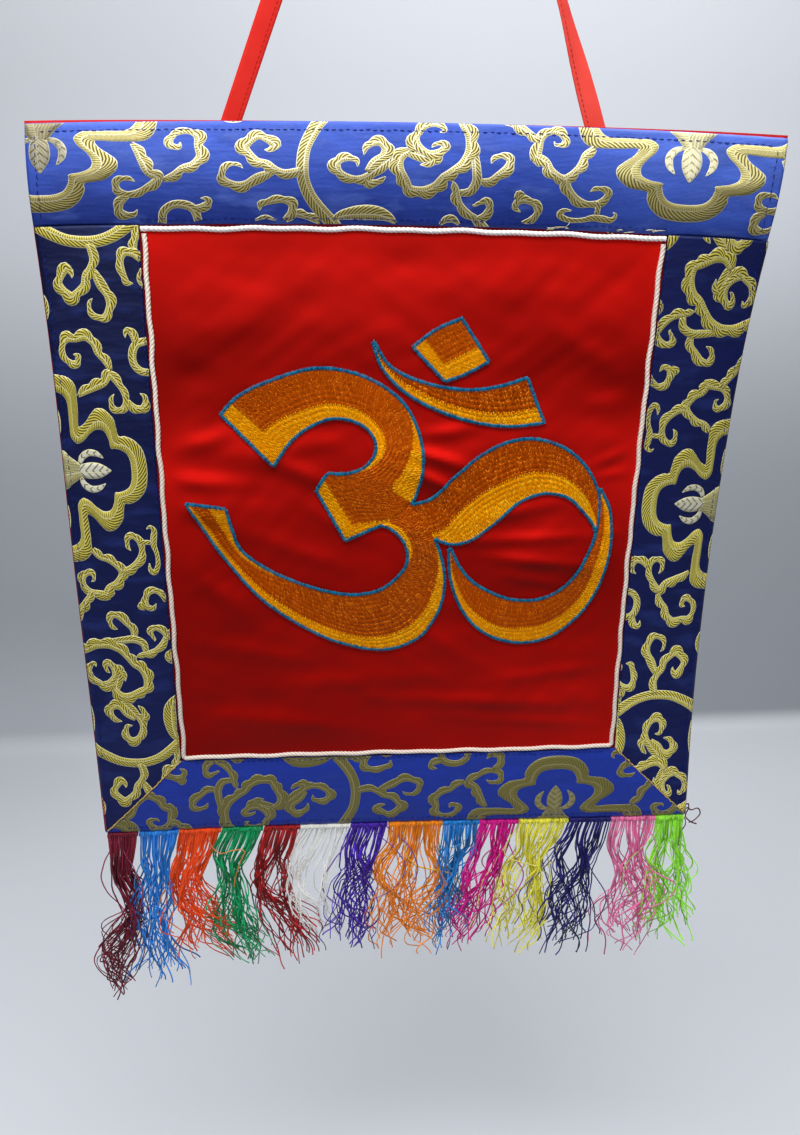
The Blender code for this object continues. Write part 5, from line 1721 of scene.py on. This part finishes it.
# %% Bunches
Bunch = namedtuple("Bunch", "name start mid_lean tip_lean length dye strands stray")
BUNCHES = [Bunch(*row) for row in (
    ("maroon", -.1745, -.001, -.006, .106, (92, 14, 32), 53, .0045),
    ("blue", -.157, -.006, -.012, .099, (34, 118, 198), 43, .004),
    ("flame", -.134, -.011, .008, .091, (246, 80, 18), 53, .0055),
    ("green", -.109, -.012, -.001, .097, (10, 128, 76), 46, .0045),
    ("dark_red", -.084, -.013, .003, .093, (134, 18, 20), 40, .0045),
    ("white", -.062, -.011, -.004, .082, (255, 254, 246), 22, .0042),
    ("indigo", -.031, -.008, -.006, .089, (58, 26, 140), 43, .005),
    ("amber", -.008, -.004, -.003, .089, (250, 144, 16), 53, .006),
    ("teal", .026, -.005, -.007, .087, (22, 106, 172), 40, .005),
    ("magenta", .049, -.008, -.014, .086, (186, 10, 122), 45, .005),
    ("yellow", .073, -.01, -.014, .091, (238, 232, 70), 46, .006),
    ("navy", .104, -.009, -.014, .093, (20, 18, 84), 43, .005),
    ("pink", .13, -.001, .002, .093, (226, 112, 164), 41, .006),
    ("lime", .157, .004, .01, .087, (140, 216, 56), 41, .0065),
)]
FRINGE_END = 0.1745
BUNCH_STARTS = np.array([bunch.start for bunch in BUNCHES] + [FRINGE_END])
BUNCH_MIDDLES = (BUNCH_STARTS[:-1] + BUNCH_STARTS[1:]) / 2
NODE_OF = {bunch.name: "fringe_%02d_%s" % (order + 1, bunch.name) for order, bunch in enumerate(BUNCHES)}
print("strands:", sum(bunch.strands for bunch in BUNCHES))

# %% Lines of the strands
HEADING_DROP = 0.0004
HEM_DEPTH = (LINING_THICKNESS - LAYER_GAP - STRIP_THICKNESS) / 2
STATIONS = 30
STRAND_MARGIN = 0.0006  # metres left free at either side of a bunch
SIDEWAYS_LIMIT, DEPTH_LIMIT = 0.013, 0.0085


def lean_at(across, t):
    """How far the yarn from these places on the hem has leaned, at these shares of its length."""
    leans = np.array([(0.0, bunch.mid_lean, bunch.tip_lean) for bunch in BUNCHES])
    return weights(BUNCH_MIDDLES, across) @ leans @ weights((0.0, 0.5, 1.0), t).T


def wander(chance, count, t, waves, size):
    """A smooth random sway for each strand: a few sines whose size grows along it."""
    total = np.zeros((count, len(t)))
    for wave in waves:
        phase = chance.uniform(0, 2 * math.pi, (count, 1))
        rate = wave * chance.uniform(0.8, 1.25, (count, 1))
        size_of_wave = np.clip(chance.normal(0, 1, (count, 1)), -1.8, 1.8) / wave
        total += size_of_wave * np.sin(2 * math.pi * rate * t[None, :] + phase)
    return total * size


def bounded(distance, limit):
    """The distance, eased so that it never passes the limit."""
    return np.tanh(distance / limit) * limit


def strand_lines(order, bunch):
    """The middle lines of one bunch's strands: an array of strands, stations and three coordinates."""
    chance = np.random.default_rng(40 + order)
    count = bunch.strands
    start, stop = BUNCH_STARTS[order] + STRAND_MARGIN, BUNCH_STARTS[order + 1] - STRAND_MARGIN
    across = start + (stop - start) * (np.arange(count) + chance.uniform(0.1, 0.9, count)) / count
    t = np.linspace(0, 1, STATIONS)
    locks = 3 if stop - start > 0.02 else 2
    lock = np.floor((across - start) / (stop - start) * locks)
    middle = lock + 0.5 + chance.uniform(-0.2, 0.2, locks)[lock.astype(int)]
    centre = start + (stop - start) * middle / locks
    length = bunch.length * 1.06 * chance.uniform(0.74, 1.06, count)
    pull = 0.42 * np.exp(-((t - 0.45) / 0.24) ** 2) * chance.uniform(0.5, 1.1, (count, 1))
    lock_sway = wander(chance, locks, t, (1.1, 2.0), 0.0042)[lock.astype(int)] * ease(t / 0.4)
    lock_sway = lock_sway + chance.normal(0, 0.0035, locks)[lock.astype(int)][:, None] * ease(t / 0.9)
    lock_deep = wander(chance, locks, t, (1.1, 1.9), 0.0035)[lock.astype(int)] * ease(t / 0.5)
    loose = np.where(chance.uniform(0, 1, (count, 1)) < 0.14, 2.1, 1.0)
    grown = ease((t - 0.08 / loose) / 0.80) * loose
    root = hang(across, np.full(count, -HEADING_DROP - 0.0002), HEM_DEPTH)
    x = root[:, :1] + lean_at(across, t) + (centre - across)[:, None] * pull + lock_sway
    x += bounded(wander(chance, count, t, (0.8, 1.5, 2.7), bunch.stray * 0.84) * grown, SIDEWAYS_LIMIT)
    depth = chance.uniform(-0.0016, 0.0016, (count, 1))
    deep = depth * (1 + 2.0 * t) * (1 - 0.5 * pull) + lock_deep
    deep += wander(chance, count, t, (0.8, 1.5, 2.7), 0.0040) * grown
    y = root[:, 1:2] + bounded(deep, DEPTH_LIMIT)
    curl = np.clip(chance.normal(0, 1, (count, 1)), -1.4, 1.4) * ease((t - 0.80) / 0.20) ** 2 * 0.0026
    droop = np.abs(curl) * 0.4
    z = root[:, 2:] - length[:, None] * t + droop
    return np.stack((x + curl, y, z), axis=-1)


print("points of the maroon strands:", strand_lines(0, BUNCHES[0]).shape[:2])


# %% Yarn
def yarn_tree():
    """Gives a strand its crimp, which grows from nothing at the hem, and sweeps its section along it."""
    tree = Tree("yarn", Radius=float, Crimp=float, Points=int, Sides=int, Seed=int, Material=bpy.types.Material)
    curves = tree.curves(tree.inputs["Points"])
    t, along = tree.share(), tree.node("GeometryNodeSplineParameter", out=1)
    size = tree.inputs["Crimp"] * t.rise(0.02, 0.35)
    rate, phase = tree.chance(240.0, 460.0), tree.chance(0.0, 6.28, 2)
    sway = (along * rate + phase).sine() * size
    deep = (along * rate * 0.83 + phase * 2).sine() * size
    slow = (along * tree.chance(90.0, 170.0, 5) + phase * 3).sine() * size * 2.6
    curves = tree.move(curves, x=sway + slow, y=deep)
    curves = tree.keep(curves, "shade", tree.chance(0.0, 1.0, 9))
    curves = tree.keep(curves, "hump", t)
    knot = (1 - (t - 0.985).size().rise(0.0, 0.012)) * tree.chance(-1.0, 1.6, 11).rise(0.0, 1.5)
    section = tree.circle(tree.inputs["Sides"], tree.inputs["Radius"])
    tree.sweep(curves, section, tree.chance(0.8, 1.15, 13) - t * 0.15 + knot * 1.3)
    return tree


def yarn_finish(bunch):
    """Silky yarn in the bunch's dye, with painted glints, a painted highlight near the hem and, but for white, a faint
    painted glow.
    """
    fuzz = 1.0 if bunch.name == "white" else 0.0
    # Painted glow: all but the white yarn emit a little of their own colour, glints included.
    yarn = Finish("yarn_" + bunch.name, Roughness=0.45, Specular_IOR_Level=0.35, Sheen_Weight=fuzz,
                  Emission_Strength=0.0 if fuzz else 0.10)
    light = tuple(c * min(1.15, 249 / max(bunch.dye)) + 6 for c in bunch.dye)
    dark = tuple(c * (0.94 if fuzz else 0.72) for c in bunch.dye)
    bright = tuple(c * min(1.5, 243 / max(bunch.dye)) + 12 for c in bunch.dye)
    shade, share = yarn.read("shade"), yarn.read("hump")
    tone = yarn.mix(shade, dyed(*dark), dyed(*light))
    fibres = yarn.place_cloud(1400.0, 2.0)
    # Painted glints along each strand, and a painted highlight near the hem.
    glint = (share * (shade * 9.0 + 14.0) + shade * 60.0).sine().rise(0.35, 0.95) * 0.75
    glint = glint + (1 - share.rise(0.0, 0.16)) * 0.5 * (1 - glint)
    tone_with_glints = yarn.mix(glint, tone, dyed(*bright))
    yarn.wear(Base_Color=tone_with_glints, Emission_Color=tone_with_glints, Normal=yarn.bump(fibres, 0.00010))
    return yarn


YARN = yarn_tree()
print("nodes of the yarn's tree:", len(YARN.tree.nodes))

# %% Headings
HEADING_HEIGHT, HEADING_DEPTH = 0.0030, 0.0044
WRAP_MARGIN, WRAP_PITCH, WRAP_POINTS = 0.0003, 0.00062, 8


def heading_lines(order):
    """Loops of yarn wrapped over the hem's edge, each a ring of a few points."""
    start, stop = BUNCH_STARTS[order] + WRAP_MARGIN, BUNCH_STARTS[order + 1] - WRAP_MARGIN
    at = np.arange(start + WRAP_MARGIN, stop, WRAP_PITCH)
    angle = np.linspace(0, 2 * math.pi, WRAP_POINTS + 1)[:-1]
    deep = HEM_DEPTH + HEADING_DEPTH / 2 * np.cos(angle) * 0.92
    up = -HEADING_DROP - HEADING_HEIGHT / 2 + HEADING_HEIGHT / 2 * np.sin(angle)
    across, up = np.broadcast_arrays(at[:, None], up[None, :])
    return hang(across + (up - up.min()) * 0.05, up, np.broadcast_to(deep, across.shape))


def chain_mesh(name, lines, closed=False):
    """Lines of points as one mesh of edges."""
    count, stations = lines.shape[:2]
    first = np.arange(count * stations).reshape(count, stations)
    after = np.roll(first, -1, axis=1) if closed else first[:, 1:]
    before = first if closed else first[:, :-1]
    return make_mesh(name, lines.reshape(-1, 3), edges=np.stack((before.ravel(), after.ravel()), axis=1))


print("wraps of the first heading:", len(heading_lines(0)))

# %% Fringe
STRAND = {"Radius": 0.00045, "Crimp": 0.00030, "Points": 36, "Sides": 4}
WRAP = {"Radius": 0.00036, "Crimp": 0.0, "Points": 10, "Sides": 4}
fringe = {}
for order, bunch in enumerate(BUNCHES):
    look = {"Seed": order * 17, "Material": yarn_finish(bunch).material}
    strands = grow(bunch.name + "_strands", chain_mesh(bunch.name, strand_lines(order, bunch)), YARN, **STRAND, **look)
    lines = chain_mesh(bunch.name, heading_lines(order), closed=True)
    fringe[NODE_OF[bunch.name]] = (strands, grow(bunch.name + "_wraps", lines, YARN, **WRAP, **look))
print("bunches:", len(fringe))

# %% [markdown]
# ## Stray strands
# Some strands leave their own bunch and lie across the next, and a few dark red ends stick out where the yarn was cut
# at the corners. Each is drawn as seven places on the flat cloth, in millimetres from the middle of the hem, and is
# swept by the same tree as the fringe. The dark ends have a finish of their own, and the others take the plain colours
# that came with the solids.

# %% Places of the stray strands
corner = yarn_finish(BUNCHES[0]._replace(name="corner", dye=(64, 6, 16)))
NODE_OF["corner"] = NODE_OF["maroon"]
Stray = namedtuple("Stray", "yarn front places")
STRAYS = [Stray(*row) for row in (
    ("corner", -3, ((173, 0.5), (177.1, 3.6), (180.5, 1), (184.5, 1.5), (186.1, -2.5), (182.5, -6.5),
        (178.5, -7.5))),
    ("corner", -3, ((172.5, 1.5), (175, 5), (177.9, 5.5), (178.7, 1.5), (177.1, -3.5), (180.1, -7.5),
        (183.5, -8.6))),
    ("corner", -3, ((173.5, -0.5), (176, -4), (176.9, -9), (175.5, -15), (176.1, -22), (174.9, -29), (175.7, -35))),
    ("maroon", 1, ((-170.5, 0), (-173.5, -12), (-179.5, -24), (-181, -36), (-175.5, -46), (-168.5, -56),
        (-163, -66))),
    ("maroon", 2, ((-168.5, 0), (-166, -14), (-160.5, -26), (-157, -40), (-160, -52), (-168, -62), (-176.5, -72))),
    ("blue", 1, ((-150.5, 0), (-153, -14), (-160, -28), (-163.5, -44), (-158, -60), (-150, -76), (-141, -92))),
    ("flame", 3, ((-118, 0), (-115.5, -12), (-111, -17), (-103, -14.5), (-96, -16), (-99.5, -27), (-104, -42))),
    ("flame", 2, ((-124, 0), (-131, -16), (-138, -30), (-147, -46), (-151, -58), (-144, -67), (-136, -74))),
    ("green", 1, ((-99, 0), (-108, -18), (-113.5, -33), (-108, -46), (-98, -55), (-89, -63), (-83, -72))),
    ("dark_red", 2, ((-76, 0), (-83, -18), (-93, -34), (-88, -45), (-73, -46.5), (-65.5, -51), (-69, -60))),
    ("indigo", 2, ((-22, 0), (-12, -11), (-2.5, -20), (3, -32), (-1.5, -45), (-12, -54), (-24, -58))),
    ("indigo", 3, ((-12, 0), (-4, -8), (3, -14), (9, -24), (10.5, -35), (6, -46), (-3, -54))),
    ("indigo", 1, ((-27, 0), (-36, -18), (-47, -34), (-49.5, -46), (-43, -57), (-36, -66), (-38.5, -78))),
    ("amber", 3, ((4, 0), (2, -16), (9, -31), (22, -35), (33.5, -40), (39, -52), (33, -66))),
    ("teal", 3, ((44, 0), (40, -14), (30, -19), (23, -15), (26, -27), (35, -38), (43, -52))),
    ("magenta", 3, ((58, 0), (64.5, -12), (71, -24), (77.5, -38), (74.5, -51), (66.5, -62), (58, -72))),
    ("magenta", 2, ((54, 0), (49, -12), (44, -24), (42.5, -38), (37, -52), (31, -64), (27, -75))),
    ("yellow", 3, ((75, 0), (67.5, -15), (60.5, -28), (52.5, -40), (49.5, -53), (50.5, -66), (43.5, -82))),
    ("yellow", 3, ((86, 0), (95, -12), (99, -27), (90, -34), (76, -30), (64.5, -24), (69, -10))),
    ("navy", 2, ((108, 0), (100, -16), (91, -31), (81, -44), (74.5, -55), (79, -66), (74, -78))),
    ("navy", 1, ((112, 0), (105, -14), (97, -27), (88, -38), (80.5, -49), (83, -62), (87.5, -75))),
    ("pink", 2, ((140, 0), (148, -8), (157, -14), (161, -28), (156, -42), (146, -54), (138, -68))),
    ("lime", 2, ((166, 0), (174, -9), (172.5, -21), (177.5, -32), (175, -44), (180.5, -53), (172, -58))),
    ("lime", 1, ((162, 0), (158, -14), (150, -24), (142, -33), (139.5, -46), (147, -58), (157, -66))),
)]
print("stray strands:", len(STRAYS), "with", corner.material.name, "for the dark ends")

# %% Stray strands
STRAY_STRAND = {"Radius": 0.00045, "Crimp": 0.00022, "Points": 40, "Sides": 4}


def stray_line(stray):
    """A drawn strand in space, which starts on the hem and bows out in front of it."""
    across, up = (weights(range(7), np.linspace(0, 6, STATIONS)) @ np.array(stray.places)).T / 1000
    root = hang(across[0], -HEADING_DROP, HEM_DEPTH)
    bow = -stray.front * 0.001 * np.sin(np.linspace(0, 2.6, STATIONS))
    return (root + np.stack((across - across[0], bow, up), axis=1))[None]


for order, stray in enumerate(STRAYS):
    piece = grow("stray_%02d" % (order + 1), chain_mesh("stray", stray_line(stray)), YARN,
                 Seed=order, Material=bpy.data.materials["yarn_" + stray.yarn], **STRAY_STRAND)
    fringe[NODE_OF[stray.yarn]] += (piece,)
print("pieces of the maroon bunch:", len(fringe[NODE_OF["maroon"]]))

# %% [markdown]
# ## What each piece stands for
# Each new piece rides with the banner and stands for the plain solid it covers, which is hidden.

# %% Pieces and solids
def stand_for(node, slot, *pieces):
    """Attach these pieces to the banner and hide the solid they stand for. The slot is not used."""
    for piece in pieces:
        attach(piece, "root")
    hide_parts(node)


stand_for("lining", "lining_red", lining)
stand_for("centre_panel", "satin_red", panel)
for name, piece in strips.items():
    slot = "brocade_royal" if name in ("top", "bottom") else "brocade_navy"
    stand_for("brocade_" + name, slot, piece, patterns[name], *sewing[name])
for node, pieces in sign_pieces.items():
    stand_for(node, "embroidery_gold", *pieces)
for node, piece in cords.items():
    stand_for(node, "cord_white", piece)
stand_for("hanging_tape", "tape_red", tape)
for node, pieces in fringe.items():
    stand_for(node, "yarn_" + node[10:], *pieces)
print("nodes dressed:", 1 + 1 + len(strips) + len(sign_pieces) + len(cords) + 1 + len(fringe))

# %% Sheets
print("sheets:", 3 + len(strips))

# %% [markdown]
# ## The end
